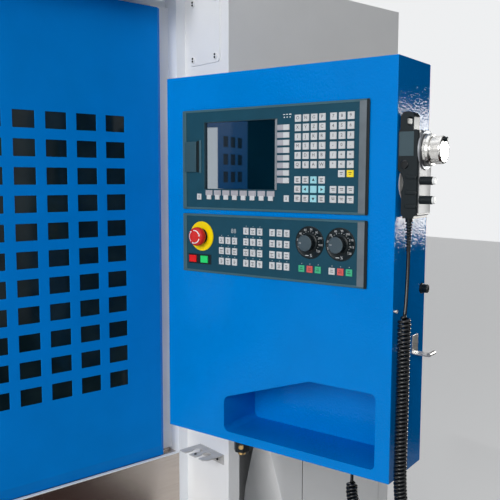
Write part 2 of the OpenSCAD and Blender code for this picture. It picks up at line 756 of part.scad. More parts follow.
door_x1 = 395;
door_x0 = door_x1 - door_w;
door_z0 = sill_z + 3.5;
door_z1 = track_z - 65;
cells_x1 = door_x1 - 108;
cells_z1 = 1666;
handle_z0 = 1072;
side_cols = 3;                     // window columns of the fixed front beside the door
side_cell_w = 40;
side_pitch = 63;
side_cells_x0 = 255 - right;
module door() {
  color(door_blue) {
    difference() {
      intersection() {
        through_x(door_x0, door_x1) polygon([[door_face, door_z0 + 30], [door_face + 9, door_z0],
          [door_face + door_t, door_z0], [door_face + door_t, door_z1], [door_face, door_z1]]);
        linear_extrude(door_z1 + 1) polygon([[door_x0, door_face], [door_x1 - 12, door_face],
          [door_x1, door_face + 9], [door_x1, door_face + door_t], [door_x0, door_face + door_t]]);
      }
      box(door_x0 + 2, door_x1 - 14, door_face + 2, door_face + door_t + 1,
        door_z0 + 32, door_z1 - 2);
      through_y(door_face - 1, door_face + 3)
        for (i = [0:window_cols - 1], j = [0:window_rows - 1])
          translate([cells_x1 - cell_w - i * cell_pitch_x, cells_z1 - cell_h - j * cell_pitch_z])
            square([cell_w, cell_h]);
    }
    for (x = [door_x0 + 80, door_x1 - 240]) difference() {
      union() {
        box(x, x + 120, door_face + 10, door_face + 22, door_z1 - 20, track_z + 40);
        box(x + 10, x + 110, door_face + 21.9, door_face + 49.4, track_z - 10, track_z + 30);
      }
      box(x - 1, x + 121, inner_face - 14 - slide_gap, inner_face, track_z - slide_gap,
        track_z + 20 + slide_gap);
    }
  }
}
module door_window() {
  edge = 12;
  color([0.05, 0.07, 0.08]) through_y(door_face + 2, door_face + 8)
    translate([cells_x1 - window_cols * cell_pitch_x + cell_pitch_x - cell_w - edge,
      cells_z1 - window_rows * cell_pitch_z + cell_pitch_z - cell_h - edge])
      square([(window_cols - 1) * cell_pitch_x + cell_w + 2 * edge,
        (window_rows - 1) * cell_pitch_z + cell_h + 2 * edge]);
}
module door_handle() {
  x0 = cells_x1 - (window_cols - 1) * cell_pitch_x - cell_w - 1 - handle_w;
  x1 = x0 + handle_w;
  color(white) {
    difference() {
      box(x0, x1, door_face - 50, door_face, handle_z0, handle_z0 + handle_l);
      box(x0 + 3, x1 + 1, door_face - 47, door_face + 1, handle_z0 + 3, handle_z0 + handle_l - 3);
    }
    box(x0, x0 + 30, door_face - 3, door_face, handle_z0, handle_z0 + handle_l);
  }
}

// ---------- control cabinet: across is X, inward is Y, up is Z, from its lower left corner ----------

module on_cabinet() {
  translate([pivot_x, pivot_y, cab_z]) rotate([0, 0, -cab_swing])
    translate([-60, -cab_d - 45, 0]) children();
}
panel_x = (cab_w - panel_w) / 2 - 2.5;
upper_z = 473;
lower_z = 344;
panel_face = -3;                   // front of both panels, ahead of the cabinet
module shell_outline(grow) {
  translate([-grow, -grow]) square([cab_w + 2 * grow, cab_h + 2 * grow]);
}
module pocket_outline(grow) {
  r = 12 + grow;
  union() {
    polygon([[150 - grow, 30], [162, 18 - grow], [480, 18 - grow], [490 + grow, 28],
      [490 + grow, 146], [479, 157 + grow], [353 - grow * 0.3, 157 + grow],
      [161 - grow * 0.3, 93 + grow * 0.95], [150 - grow, 77.8]]);
    translate([162, 30]) circle(r = r, $fn = 48);
    translate([480, 28]) circle(r = r - 2, $fn = 48);
    translate([479, 146]) circle(r = r - 1, $fn = 48);
    translate([166, 77.8]) circle(r = r + 4, $fn = 48);
  }
}
module cabinet_shell() {
  color(blue) on_cabinet() {
    difference() {
      through_y(0, cab_d - 2) shell_outline(0);
      through_y(cab_sheet, cab_d - 1) shell_outline(-cab_sheet);
      through_y(-1, cab_sheet + 1) {
        pocket_outline(0);
        translate([panel_x + 8, upper_z + 8]) square([panel_w - 16, panel_h - 16]);
        translate([panel_x + 8, lower_z + 8]) square([panel_w - 16, machine_h - 16]);
      }
    }
    difference() {
      through_y(cab_sheet, 112) pocket_outline(cab_sheet);
      through_y(cab_sheet - 1, 110) pocket_outline(0);
    }
  }
}
module cabinet_cover() {
  barrel_z = [20 + 40.5, 620 - 0.5];
  color(blue) on_cabinet() difference() {
    union() {
      through_y(cab_d - 2, cab_d) shell_outline(0);
      box(30, 90, cab_d, cab_d + 45, barrel_z[0], barrel_z[1]);
      post_z(60, cab_d + 45, barrel_z[0], barrel_z[1], 60);
    }
    post_z(60, cab_d + 45, barrel_z[0] - 1, barrel_z[1] + 1, 25 + fit);
  }
}
module operator_panel() {
  color(slate) on_cabinet() translate([panel_x, 0, upper_z]) difference() {
    union() {
      through_y(panel_face, 0) rounded(0, panel_w, 0, panel_h, 4);
      box(10, panel_w - 10, 0, 60, 10, panel_h - 10);
    }
    box(57, 234, panel_face - 1, panel_face + 9, 41, 175);
  }
}
module display() {
  color([0.05, 0.06, 0.08]) on_cabinet() translate([panel_x, 0, upper_z])
    box(57.5, 233.5, panel_face + 6, panel_face + 9, 41.5, 174.5);
}
dial_at = [[308, 75.5], [371.7, 75.5]];
estop_at = [51, 74.5];
collar_h = 1.5;                     // height of the emergency stop's sleeve
stop_at = [17.6, 20];
start_at = [48, 20];
cap = [18.7, 14.3];
module machine_panel() {
  color(slate) on_cabinet() translate([panel_x, 0, lower_z]) difference() {
    union() {
      through_y(panel_face, 0) rounded(0, panel_w, 0, machine_h, 4);
      box(10, panel_w - 10, 0, 45, 10, machine_h - 10);
      for (p = dial_at) translate([0, panel_face, 0]) rotate([90, 0, 0])
        translate([p[0], p[1], 0]) cylinder(d = 60, h = 1.5, $fn = 64);
    }
    for (p = dial_at) rod_along_y(p[0], panel_face - 2, 30, p[1], 6 + fit);
    rod_along_y(estop_at[0], panel_face - 1, 30, estop_at[1], 22 + fit);
    for (p = [stop_at, start_at]) box(p[0] - 0.3, p[0] + cap[0] + 0.3, panel_face - 1, 12,
      p[1] - 0.3, p[1] + cap[1] + 0.3);
  }
}
module key(x, z, w, h) {
  translate([x, panel_face - 1.2, z]) cube([w, 1.2, h]);
}
module key_block(x, z, cols, rows, pitch, size) {
  for (i = [0:cols - 1], j = [0:rows - 1]) key(x + i * pitch[0], z + j * pitch[1], size[0], size[1]);
}
module panel_keys() {
  color(key_grey) on_cabinet() {
    translate([panel_x, 0, upper_z]) {
      key_block(274, 82, 4, 6, [17.1, 16.9], [13, 12.8]);
      key_block(348, 82, 3, 6, [17.3, 16.9], [13.4, 12.8]);
      key_block(365.3, 66, 2, 1, [17.3, 17], [13.4, 12.4]);
      key_block(274, 20.5, 4, 3, [17.1, 17], [13, 12.8]);
      key_block(349, 20.5, 3, 2, [17.3, 17], [13.4, 12.8]);
      key_block(235, 54.5, 1, 8, [20, 14], [13.5, 10.2]);
      key_block(249, 54.5, 1, 8, [20, 14], [13, 10.2]);
      key_block(61.5, 21.5, 8, 1, [21.5, 14], [16, 18]);
      key_block(39, 20, 1, 1, [20, 20], [11, 12]);
      key_block(251, 20, 1, 1, [20, 20], [11, 12]);
      translate([8, panel_face - 2, 75]) cube([36, 2, 62]);
    }
    translate([panel_x, 0, lower_z]) {
      key_block(96, 20, 3, 3, [16.5, 21], [12.2, 13.4]);
      key_block(157, 20, 3, 4, [16.5, 21], [12.2, 13.4]);
      key_block(219, 20, 3, 4, [16.5, 21], [12.2, 13.4]);
      key_block(285, 20, 3, 1, [17.3, 20], [12.6, 12.4]);
      key_block(349, 20, 3, 1, [17.5, 20], [12.6, 12.4]);
    }
  }
}
module on_machine_panel(p) {
  on_cabinet() translate([panel_x + p[0], panel_face, lower_z + p[1]]) rotate([90, 0, 0])
    children();
}
module estop_collar() {
  color([0.95, 0.8, 0.1]) on_machine_panel(estop_at) difference() {
    union() {
      cylinder(d = 60, h = 2, $fn = 64);
      translate([0, 0, 2]) cylinder(d = 30, h = collar_h, $fn = 48);
    }
    translate([0, 0, -1]) cylinder(d = 22 + fit, h = 10, $fn = 48);
  }
}
module estop_button() {
  gap = estop_travel + 1;
  base = 2 + collar_h + gap;
  color([0.8, 0.1, 0.1]) on_machine_panel(estop_at) {
    translate([0, 0, -16]) cylinder(d = 22, h = 16 + base + 1, $fn = 48);
    translate([0, 0, base]) rotate_extrude($fn = 64) polygon([[0, 0], [estop_d / 2 - 3, 0],
      [estop_d / 2, 3], [estop_d / 2, 8], [estop_d / 2 - 3, 12], [estop_d / 2 - 9, 14.2], [0, 15.5]]);
  }
}
module push_cap(p, tone) {
  color(tone) on_cabinet() translate([panel_x + p[0], 0, lower_z + p[1]])
    box(0, cap[0], panel_face - 2.2, 6, 0, cap[1]);
}
module stop_button() { push_cap(stop_at, [0.8, 0.1, 0.1]); }
module start_button() { push_cap(start_at, [0.1, 0.6, 0.3]); }
module dial_knob(p) {
  color(slate) on_machine_panel(p) {
    translate([0, 0, -20]) cylinder(d = 6, h = 23, $fn = 32);
    translate([0, 0, 2]) difference() {
      union() {
        cylinder(d = knob_d, h = 4, $fn = 48);
        translate([0, 0, 4]) cylinder(d = knob_d - 8, h = 12, $fn = 48);
      }
      translate([-1, knob_d / 2 - 8, 15]) cube([2, 10, 2]);
    }
  }
}
module feed_knob() { dial_knob(dial_at[0]); }
module spindle_knob() { dial_knob(dial_at[1]); }

// ---------- hand pendant on the cabinet's right side ----------

pendant_w0 = 4;                    // behind the cabinet's front edge
pendant_z = 470;
pendant_gap = 1;
bail_w = 24;                       // depth of the loop on the pendant's top
knob_z = [533.4, 501.4];
ring_z = 584.5;
module across(w0, w1) {
  translate([cab_w + pendant_gap, w1, pendant_z]) rotate([90, 0, 0]) linear_extrude(w1 - w0)
    children();
}
module on_pendant(z, w) {
  translate([cab_w + pendant_gap + pendant_t + 2, w, z]) rotate([0, 90, 0]) children();
}
pendant_mid = pendant_w0 + pendant_w / 2;
module pendant() {
  color(dark) on_cabinet() difference() {
    union() {
      across(pendant_w0, pendant_w0 + pendant_w) difference() {
        union() {
          rounded(0, pendant_t, 70, 148, 4);
          rounded(7, pendant_t, 4, 90, 4);
          translate([10, 0]) square([pendant_t - 14, 12]);
        }
        translate([-19.7, 59.2]) circle(r = 30, $fn = 64);
      }
      across(pendant_w0, pendant_w0 + bail_w) difference() {
        rounded(3, 27, 130, 178, 10);
        translate([15.5, 155]) rounded(0, 8.5, 0, 14, 3.5);
      }
      across(pendant_w0 + 2, pendant_w0 + pendant_w - 2)
        translate([pendant_t, 6]) square([2, 140]);
      on_pendant(ring_z, pendant_mid) translate([0, 0, -1]) cylinder(d = ring_d, h = 4, $fn = 64);
    }
    on_pendant(ring_z, pendant_mid) translate([0, 0, -14]) cylinder(d = 10 + fit, h = 20, $fn = 32);
    for (z = knob_z) on_pendant(z, pendant_w0 + 9) translate([0, 0, -12])
      cylinder(d = 6 + fit, h = 20, $fn = 32);
  }
  color(steel) on_cabinet() box(cab_w, cab_w + pendant_gap + 1, pendant_mid - 14, pendant_mid + 14,
    pendant_z + 90, pendant_z + 130);
}
module handwheel() {
  color(steel) on_cabinet() on_pendant(ring_z, pendant_mid) {
    translate([0, 0, -12]) cylinder(d = 10, h = 16, $fn = 32);
    translate([0, 0, 3.5]) cylinder(d = 55, h = 11, $fn = 64);
    translate([0, 0, 14.5]) cylinder(d = 47, h = 19, $fn = 64);
    translate([0, 17, 33.5]) cylinder(d = 9, h = 5, $fn = 24);
  }
}
module small_knob(z) {
  color(dark) on_cabinet() on_pendant(z, pendant_w0 + 9) {
    translate([0, 0, -10]) cylinder(d = 6, h = 12, $fn = 32);
    translate([0, 0, 0.5]) cylinder(d = 14, h = 25, $fn = 40);
    translate([0, 0, 25.5]) cylinder(d = 12, h = 2, $fn = 40);
  }
}
module axis_knob() { small_knob(knob_z[0]); }
module step_knob() { small_knob(knob_z[1]); }

// Route of the cord: [across, inward, up] on the cabinet, from the pendant to the gland.
cord_route = [[534, 24, 462], [534, 24, 440], [535, 22, 400], [536, 18, 360], [537, 13, 330],
  [538, 8, 312], [538, 6, 300], [538, 5, 260], [538, 5, 220], [538, 5, 180], [538, 5, 140],
  [538, 4, 100], [538, 4, 60], [538, 4, 20], [539, 7, -20], [541, 14, -55], [543, 26, -85],
  [540, 44, -112], [528, 66, -135], [508, 86, -150], [480, 98, -156], [450, 100, -150],
  [425, 98, -135], [408, 94, -112], [401, 90, -85], [400, 90, -60], [400, 90, -42],
  [400, 90, -31]];
coil_from = 6;
coil_to = 25;
function unit(v) = v / norm(v);
function heading(i) = let (n = len(cord_route) - 1)
  unit(cord_route[min(i + 1, n)] - cord_route[max(i - 1, 0)]);
function ring_points(i, r, n) = let (h = heading(i), s = unit(cross([0.1, 1, 0.05], h)),
  t = cross(h, s)) [for (k = [0:n - 1]) let (a = k * 360 / n)
    cord_route[i] + r * (cos(a) * s + sin(a) * t)];
function side_faces(rings, n) = [for (i = [0:rings - 2], k = [0:n - 1])
  [i * n + k, (i + 1) * n + k, (i + 1) * n + (k + 1) % n, i * n + (k + 1) % n]];
module cord() {
  n = 10;
  rings = [for (i = [0:len(cord_route) - 1])
    ring_points(i, (i >= coil_from && i <= coil_to ? coil_d : wire_d) / 2, n)];
  points = [for (r = rings, p = r) p];
  ends = [[for (k = [0:n - 1]) k], [for (k = [n - 1:-1:0]) (len(rings) - 1) * n + k]];
  color(dark) on_cabinet() polyhedron(points, concat(side_faces(len(rings), n), ends));
}
module cord_fittings() {
  color(dark) on_cabinet() {
    translate([534, 24, 462]) cylinder(d = 12, h = 8, $fn = 32);
    translate([400, 90, -31]) cylinder(d = 24, h = 31, $fn = 32);
  }
  color(steel) on_cabinet() {
    translate([cab_w, 5, 309]) rotate([0, 90, 0]) cylinder(d = 5, h = 4, $fn = 24);
    difference() {
      box(cab_w, cab_w + 33, 84, 110, 217, 252);
      box(cab_w + 2, cab_w + 34, 83, 111, 219.5, 253);
    }
    rod_along_y(cab_w + 33, 84, 110, 221, 8);
  }
}

bed();
levelling_feet();
column();
y_rails();
z_rails();
y_motor();
z_motor();
chip_tray();
left_panel();
right_panel();
front_frame();
apron();
rail_cover();
control_housing();
lower_housing();
service_cover();
access_plate();
gun_bracket();
swing_bracket();
rear_cabinet();
rear_door();
magazine_bracket();
coolant_tank();
saddle();
x_rails();
x_motor();
table();
spindle_head();
spindle_motor();
drive_belt();
head_cover();
spindle();
motor_pulley();
x_screw();
y_screw();
z_screw();
magazine_carriage();
carousel();
tool_holders();
door();
door_window();
door_handle();
cabinet_shell();
cabinet_cover();
operator_panel();
display();
machine_panel();
panel_keys();
estop_collar();
estop_button();
stop_button();
start_button();
feed_knob();
spindle_knob();
pendant();
handwheel();
axis_knob();
step_knob();
cord();
cord_fittings();
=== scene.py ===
"""Vertical machining center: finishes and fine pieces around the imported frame, in metres."""

import bisect
import json
import math

import bpy
from mathutils import Matrix, Vector


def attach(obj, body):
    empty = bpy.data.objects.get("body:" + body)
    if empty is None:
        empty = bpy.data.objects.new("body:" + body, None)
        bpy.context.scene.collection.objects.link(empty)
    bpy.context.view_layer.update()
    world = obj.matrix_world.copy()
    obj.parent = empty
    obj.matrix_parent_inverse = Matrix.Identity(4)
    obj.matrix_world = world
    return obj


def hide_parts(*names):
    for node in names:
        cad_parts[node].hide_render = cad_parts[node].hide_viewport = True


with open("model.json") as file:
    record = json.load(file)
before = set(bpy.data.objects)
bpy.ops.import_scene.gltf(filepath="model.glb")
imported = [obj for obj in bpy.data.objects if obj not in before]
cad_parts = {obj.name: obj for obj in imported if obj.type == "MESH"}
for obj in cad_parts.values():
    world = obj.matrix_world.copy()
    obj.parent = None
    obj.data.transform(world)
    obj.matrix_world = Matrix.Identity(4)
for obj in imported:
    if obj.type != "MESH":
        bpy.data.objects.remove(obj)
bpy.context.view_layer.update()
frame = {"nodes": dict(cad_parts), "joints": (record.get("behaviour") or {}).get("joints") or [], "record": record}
nodes = frame["nodes"]
joints = {j["name"]: j for j in frame["joints"]}
scene = bpy.context.scene
scene.view_settings.view_transform = "Standard"
MM = 0.001

# ---------- the control cabinet's own axes: across, inward and up, from its lower left corner ----------

across = Vector(joints["handwheel_spin"]["axis"]).normalized()
inward = Vector(joints["estop_push"]["axis"]).normalized()
up = Vector((0, 0, 1))
shell_points = [v.co for v in nodes["cabinet_shell"].data.vertices]


def reach(points, direction):
    along = [p.dot(direction) for p in points]
    return min(along), max(along)


shell_across = reach(shell_points, across)
shell_inward = reach(shell_points, inward)
shell_up = reach(shell_points, up)
CAB_W = (shell_across[1] - shell_across[0]) / MM
CAB_H = (shell_up[1] - shell_up[0]) / MM
corner = across * shell_across[0] + inward * shell_inward[0] + up * shell_up[0]
CABINET = Matrix.Translation(corner) @ Matrix(
    ((across.x, inward.x, 0), (across.y, inward.y, 0), (0, 0, 1))
).to_4x4()


def on_cabinet(u, w, v):
    """A point given in millimetres across, inward and up on the control cabinet."""
    return CABINET @ Vector((u * MM, w * MM, v * MM))


# ---------- camera ----------

SENSOR = 36
LENS = 50.75
EYE = Vector((-0.593, -1.94, 1.52))
HEADING = math.radians(40.4)
TILT_DOWN = math.radians(5.83)
ROLL = math.radians(0.17)


def make_camera():
    data = bpy.data.cameras.new("camera")
    data.sensor_width = SENSOR
    data.lens = LENS
    data.clip_end = 60
    camera = bpy.data.objects.new("camera", data)
    scene.collection.objects.link(camera)
    level = Matrix.Rotation(-HEADING, 4, "Z") @ Matrix.Rotation(math.pi / 2, 4, "X")
    tilt = Matrix.Rotation(-TILT_DOWN, 4, "X")
    turn = Matrix.Rotation(ROLL, 4, "Z")
    camera.matrix_world = Matrix.Translation(EYE) @ level @ tilt @ turn
    scene.camera = camera


make_camera()

# ---------- materials ----------


def new_material(name, color, roughness, metallic=0.0, gloss=0.2):
    material = bpy.data.materials.new(name)
    material.use_nodes = True
    shader = material.node_tree.nodes["Principled BSDF"]
    shader.inputs["Base Color"].default_value = (*color, 1)
    shader.inputs["Roughness"].default_value = roughness
    shader.inputs["Metallic"].default_value = metallic
    shader.inputs["Specular IOR Level"].default_value = gloss
    return material, shader


def add_node(material, kind, **settings):
    node = material.node_tree.nodes.new(kind)
    for name, value in settings.items():
        setattr(node, name, value)
    return node


def link(material, source, target):
    material.node_tree.links.new(source, target)


def object_coords(material, stretch=(1, 1, 1)):
    coords = add_node(material, "ShaderNodeTexCoord")
    mapping = add_node(material, "ShaderNodeMapping")
    mapping.inputs["Scale"].default_value = stretch
    link(material, coords.outputs["Object"], mapping.inputs["Vector"])
    return mapping.outputs["Vector"]


def noise(material, vector, scale, detail=2.0, rough=0.5):
    texture = add_node(material, "ShaderNodeTexNoise")
    texture.inputs["Scale"].default_value = scale
    texture.inputs["Detail"].default_value = detail
    texture.inputs["Roughness"].default_value = rough
    link(material, vector, texture.inputs["Vector"])
    return texture.outputs["Fac"]


def bump(material, shader, height, distance):
    node = add_node(material, "ShaderNodeBump")
    node.inputs["Distance"].default_value = distance
    link(material, height, node.inputs["Height"])
    link(material, node.outputs["Normal"], shader.inputs["Normal"])


def ramp(material, fac, stops):
    node = add_node(material, "ShaderNodeValToRGB")
    elements = node.color_ramp.elements
    while len(elements) < len(stops):
        elements.new(0.5)
    for element, (at, color) in zip(elements, stops):
        element.position = at
        element.color = (*color, 1)
    link(material, fac, node.inputs["Fac"])
    return node.outputs["Color"]


def vary_roughness(material, shader, fac, low, high):
    node = add_node(material, "ShaderNodeMapRange")
    node.inputs["To Min"].default_value = low
    node.inputs["To Max"].default_value = high
    link(material, fac, node.inputs["Value"])
    link(material, node.outputs["Result"], shader.inputs["Roughness"])


def tinted(color, gain):
    return tuple(min(1, c * gain) for c in color)


def clouded(material, shader, fac, color, low, high):
    """Lets a texture carry the base colour between a darker and a lighter shade of it."""
    stops = [(0.3, tinted(color, low)), (0.7, tinted(color, high))]
    link(material, ramp(material, fac, stops), shader.inputs["Base Color"])


def paint(name, color, roughness, peel, gloss=0.1, cloud=0.04, mottle=9, octaves=2):
    """Sprayed enamel: faint clouds in the colour and an orange-peel surface."""
    material, shader = new_material(name, color, roughness, gloss=gloss)
    vector = object_coords(material)
    clouded(material, shader, noise(material, vector, mottle, 3), color, 1 - cloud, 1 + cloud)
    worn = noise(material, vector, 40, 4)
    vary_roughness(material, shader, worn, roughness * 0.85, roughness * 1.2)
    bump(material, shader, noise(material, vector, 260, octaves), peel)
    return material


def brushed(name, color, roughness, stretch):
    """Steel brushed in one direction: stretch is small along the lines."""
    material, shader = new_material(name, color, roughness, 1.0, 0.5)
    lines = noise(material, object_coords(material, stretch), 300, 6, 0.7)
    clouded(material, shader, lines, color, 0.86, 1.1)
    vary_roughness(material, shader, lines, roughness * 0.8, roughness * 1.3)
    bump(material, shader, lines, 0.00004)
    return material


def moulded(name, color, roughness, grain=900, depth=0.00006, cloud=0.05, gloss=0.2):
    """Moulded plastic with a fine spark-eroded grain."""
    material, shader = new_material(name, color, roughness, gloss=gloss)
    vector = object_coords(material)
    clouded(material, shader, noise(material, vector, 30, 3), color, 1 - cloud, 1 + cloud)
    bump(material, shader, noise(material, vector, grain, 2), depth)
    return material


def casting(name, color):
    """Painted cast iron: broad clouds and a coarse skin."""
    material, shader = new_material(name, color, 0.5)
    vector = object_coords(material)
    clouded(material, shader, noise(material, vector, 6, 6), color, 0.9, 1.07)
    bump(material, shader, noise(material, vector, 120, 5), 0.0005)
    return material


def window_pane(name, dark, smudge, gloss, roughness, ior=1.5):
    """Dark glass with faint smudges."""
    material, shader = new_material(name, dark, roughness, gloss=gloss)
    smudges = noise(material, object_coords(material), 14, 5)
    shader.inputs["IOR"].default_value = ior
    vary_roughness(material, shader, smudges, roughness * 0.7, roughness * 1.6)
    link(material, ramp(material, smudges, [(0.35, dark), (0.75, smudge)]), shader.inputs["Base Color"])
    return material


CABINET_BLUE = (0.0, 0.19, 0.60)
# The door's blue is a little lighter than the cabinet's: painted light, making up for the light its face lacks.
DOOR_BLUE = (0.0, 0.205, 0.66)
LIGHT_GREY = (0.77, 0.78, 0.79)
SLATE = (0.010, 0.058, 0.092)
KEY_GREY = (0.56, 0.58, 0.60)

cabinet_paint = paint("cabinet_enamel", CABINET_BLUE, 0.04, 0.0003, 0.05, octaves=0)
door_paint = paint("door_enamel", DOOR_BLUE, 0.3, 0.0002, 0.04)
grey_paint = paint("housing_enamel", LIGHT_GREY, 0.38, 0.00025, cloud=0.02)
cast_paint = casting("casting_enamel", (0.36, 0.39, 0.40))
# The warm brownish tint is partly the steel's own colour and partly painted reflection of brown surroundings, for
# the apron and chip tray.
stainless = brushed("brushed_stainless", (0.56, 0.50, 0.45), 0.2, (0.02, 1, 1))
zinc_grey = paint("zinc_grey", (0.46, 0.46, 0.46), 0.4, 0.00015, gloss=0.5, cloud=0.08, mottle=40)
bracket_steel = brushed("bracket_steel", (0.6, 0.59, 0.57), 0.34, (1, 0.05, 1))
ground_steel = brushed("ground_steel", (0.58, 0.59, 0.61), 0.24, (1, 1, 0.05))
turned_steel = brushed("turned_steel", (0.66, 0.65, 0.63), 0.2, (1, 1, 1))
slate_plastic = moulded("slate_plastic", SLATE, 0.42, gloss=0.12)
# A lighter copy of the slate plastic for the panel rims, the left strips and the card lip: painted light on edges
# that catch the light.
rim_plastic = moulded("panel_rim", (0.045, 0.11, 0.14), 0.4)
key_plastic = moulded("key_plastic", KEY_GREY, 0.5)
key_shade = moulded("softkey_shade", (0.36, 0.36, 0.40), 0.5)
key_cyan = moulded("key_cyan", (0.30, 0.62, 0.70), 0.5)
key_yellow = moulded("key_yellow", (0.85, 0.66, 0.03), 0.5)
key_green = moulded("key_green", (0.05, 0.42, 0.22), 0.5)
key_red = moulded("key_red", (0.60, 0.10, 0.095), 0.5)
legend_ink = moulded("legend_ink", (0.03, 0.03, 0.035), 0.6)
legend_white = moulded("legend_white", (0.75, 0.77, 0.78), 0.6)
scale_grey = moulded("scale_grey", (0.56, 0.58, 0.60), 0.6)
silver_trim = brushed("silver_trim", (0.27, 0.28, 0.30), 0.42, (1, 1, 0.03))
plate_grey = moulded("plate_grey", (0.36, 0.37, 0.39), 0.4, 300, 0.0001, 0.1)
strip_grey = moulded("strip_grey", (0.13, 0.155, 0.175), 0.45, 500, 0.0001, 0.12)
black_plastic = moulded("black_plastic", (0.006, 0.011, 0.014), 0.3, depth=0.0001, gloss=0.2)
black_rubber = moulded("black_rubber", (0.004, 0.006, 0.008), 0.12, gloss=0.38)
motor_black = moulded("motor_enamel", (0.02, 0.021, 0.023), 0.45)
estop_yellow = moulded("estop_yellow", (0.88, 0.66, 0.0), 0.4)
estop_red = moulded("estop_red", (0.62, 0.025, 0.02), 0.22, depth=0.00002)
cap_red = moulded("cap_red", (0.70, 0.01, 0.01), 0.3)
cap_green = moulded("cap_green", (0.02, 0.62, 0.15), 0.3)
knob_grey = moulded("knob_slate", (0.052, 0.078, 0.096), 0.42)
brass = brushed("brass", (0.62, 0.42, 0.18), 0.35, (1, 1, 1))
# The window panes are opaque: their dark colour is painted shade for the machine's inside seen through them.
pane = window_pane("shaded_interior_pane", (0.003, 0.010, 0.014), (0.010, 0.022, 0.026), 0.2, 0.08)
side_pane = window_pane("side_pane", (0.002, 0.010, 0.016), (0.004, 0.014, 0.02), 0.05, 0.4)
screen_glass = window_pane("screen_glass", (0.0004, 0.008, 0.018), (0.0008, 0.012, 0.024), 0.5, 0.02, 2.3)
# Pale grey for the display's sloped wall: painted light on the side that faces the light.
recess_grey = moulded("recess_grey", (0.30, 0.32, 0.34), 0.45)
flap_plastic = moulded("flap_plastic", (0.03, 0.075, 0.10), 0.45)
readout_grey = moulded("readout_grey", (0.36, 0.40, 0.43), 0.5)
label_grey = moulded("label_grey", (0.045, 0.075, 0.09), 0.5)
cap_white = moulded("cap_white", (0.72, 0.74, 0.74), 0.35)
lamp_grey = moulded("lamp_grey", (0.55, 0.60, 0.62), 0.4)
handle_white = paint("handle_enamel", (0.84, 0.85, 0.86), 0.35, 0.0002, cloud=0.02)
# A lighter, bluer white than the housing enamel: painted light, raised to make up for the shade on the front
# frame's post and the rail cover.
post_paint = paint("post_enamel", (0.80, 0.83, 0.87), 0.35, 0.0002, cloud=0.02)

NODE_FINISH = {
    cast_paint: "bed column saddle magazine_bracket magazine_carriage",
    ground_steel: "y_rails z_rails x_rails x_screw y_screw z_screw table motor_pulley",
    turned_steel: "spindle carousel tool_holders handwheel levelling_feet cord_fittings",
    motor_black: "y_motor z_motor x_motor spindle_motor",
    stainless: "chip_tray apron",
    zinc_grey: "gun_bracket",
    handle_white: "door_handle",
    # The rail cover takes the post's lighter enamel as painted light against the shade it sits in.
    post_paint: "front_frame rail_cover",
    grey_paint: "left_panel right_panel control_housing lower_housing service_cover access_plate "
    "swing_bracket rear_cabinet rear_door coolant_tank spindle_head head_cover",
    black_rubber: "drive_belt cord",
    door_paint: "door",
    pane: "door_window",
    cabinet_paint: "cabinet_shell cabinet_cover",
    slate_plastic: "operator_panel machine_panel feed_knob spindle_knob",
    screen_glass: "display",
    key_plastic: "panel_keys",
    estop_yellow: "estop_collar",
    estop_red: "estop_button",
    cap_red: "stop_button",
    cap_green: "start_button",
    black_plastic: "pendant axis_knob step_knob",
}
for material, names in NODE_FINISH.items():
    for name in names.split():
        mesh = nodes[name].data
        mesh.materials.clear()
        mesh.materials.append(material)

# ---------- modelling ------------------

CONTROL = "control_cabinet"
CAD_SLOTS = {row["node"]: row["material_slot"] for row in frame["record"]["subparts"]}


def nothing_selected():
    if bpy.context.object and bpy.context.object.mode != "OBJECT":
        bpy.ops.object.mode_set(mode="OBJECT")
    bpy.ops.object.select_all(action="DESELECT")


def only(obj):
    """Makes a piece the active one and the only one selected."""
    nothing_selected()
    bpy.context.view_layer.objects.active = obj
    obj.select_set(True)


def apply_place(obj):
    only(obj)
    bpy.ops.object.transform_apply(location=True, rotation=True, scale=True)


def block(name, low, high):
    """A block between two corners in millimetres, ready to be shaped."""
    nothing_selected()
    middle = [(a + b) / 2 * MM for a, b in zip(low, high)]
    size = [(b - a) * MM for a, b in zip(low, high)]
    bpy.ops.mesh.primitive_cube_add(size=1, location=middle, scale=size)
    obj = bpy.context.object
    obj.name = name
    apply_place(obj)
    return obj


def facing(direction):
    """Turns the upright axis towards a direction."""
    return Vector(direction).to_track_quat("Z", "Y").to_matrix().to_4x4()


def turned(name, centre, direction, profile, vertices=48, shade=30):
    """A turned piece: (radius, height) steps along a direction from its centre, in millimetres."""
    nothing_selected()
    radius, height = profile[0]
    bpy.ops.mesh.primitive_circle_add(
        vertices=vertices, radius=radius * MM, fill_type="NGON", location=(0, 0, height * MM)
    )
    obj = bpy.context.object
    obj.name = name
    apply_place(obj)
    bpy.ops.object.mode_set(mode="EDIT")
    bpy.ops.mesh.select_all(action="SELECT")
    for next_radius, next_height in profile[1:]:
        bpy.ops.mesh.extrude_region_move(
            TRANSFORM_OT_translate={"value": (0, 0, (next_height - height) * MM)}
        )
        ratio = next_radius / radius
        bpy.ops.transform.resize(value=(ratio, ratio, 1), center_override=(0, 0, 0))
        radius, height = next_radius, next_height
    bpy.ops.mesh.select_all(action="SELECT")
    bpy.ops.mesh.normals_make_consistent(inside=False)
    done_editing()
    obj.data.transform(Matrix.Translation(Vector(centre) * MM) @ facing(direction))
    if shade:
        smooth(obj, shade)
    return obj


def select_faces(obj, wanted):
    """Goes into edit mode with the faces selected whose centre and normal are wanted."""
    only(obj)
    bpy.context.tool_settings.mesh_select_mode = (False, False, True)
    mesh = obj.data
    mesh.vertices.foreach_set("select", [False] * len(mesh.vertices))
    mesh.edges.foreach_set("select", [False] * len(mesh.edges))
    for face in mesh.polygons:
        face.select = wanted(face.center / MM, face.normal)
    bpy.ops.object.mode_set(mode="EDIT")


def done_editing():
    bpy.ops.object.mode_set(mode="OBJECT")


def outer_face(centre, normal):
    return normal.y < -0.9


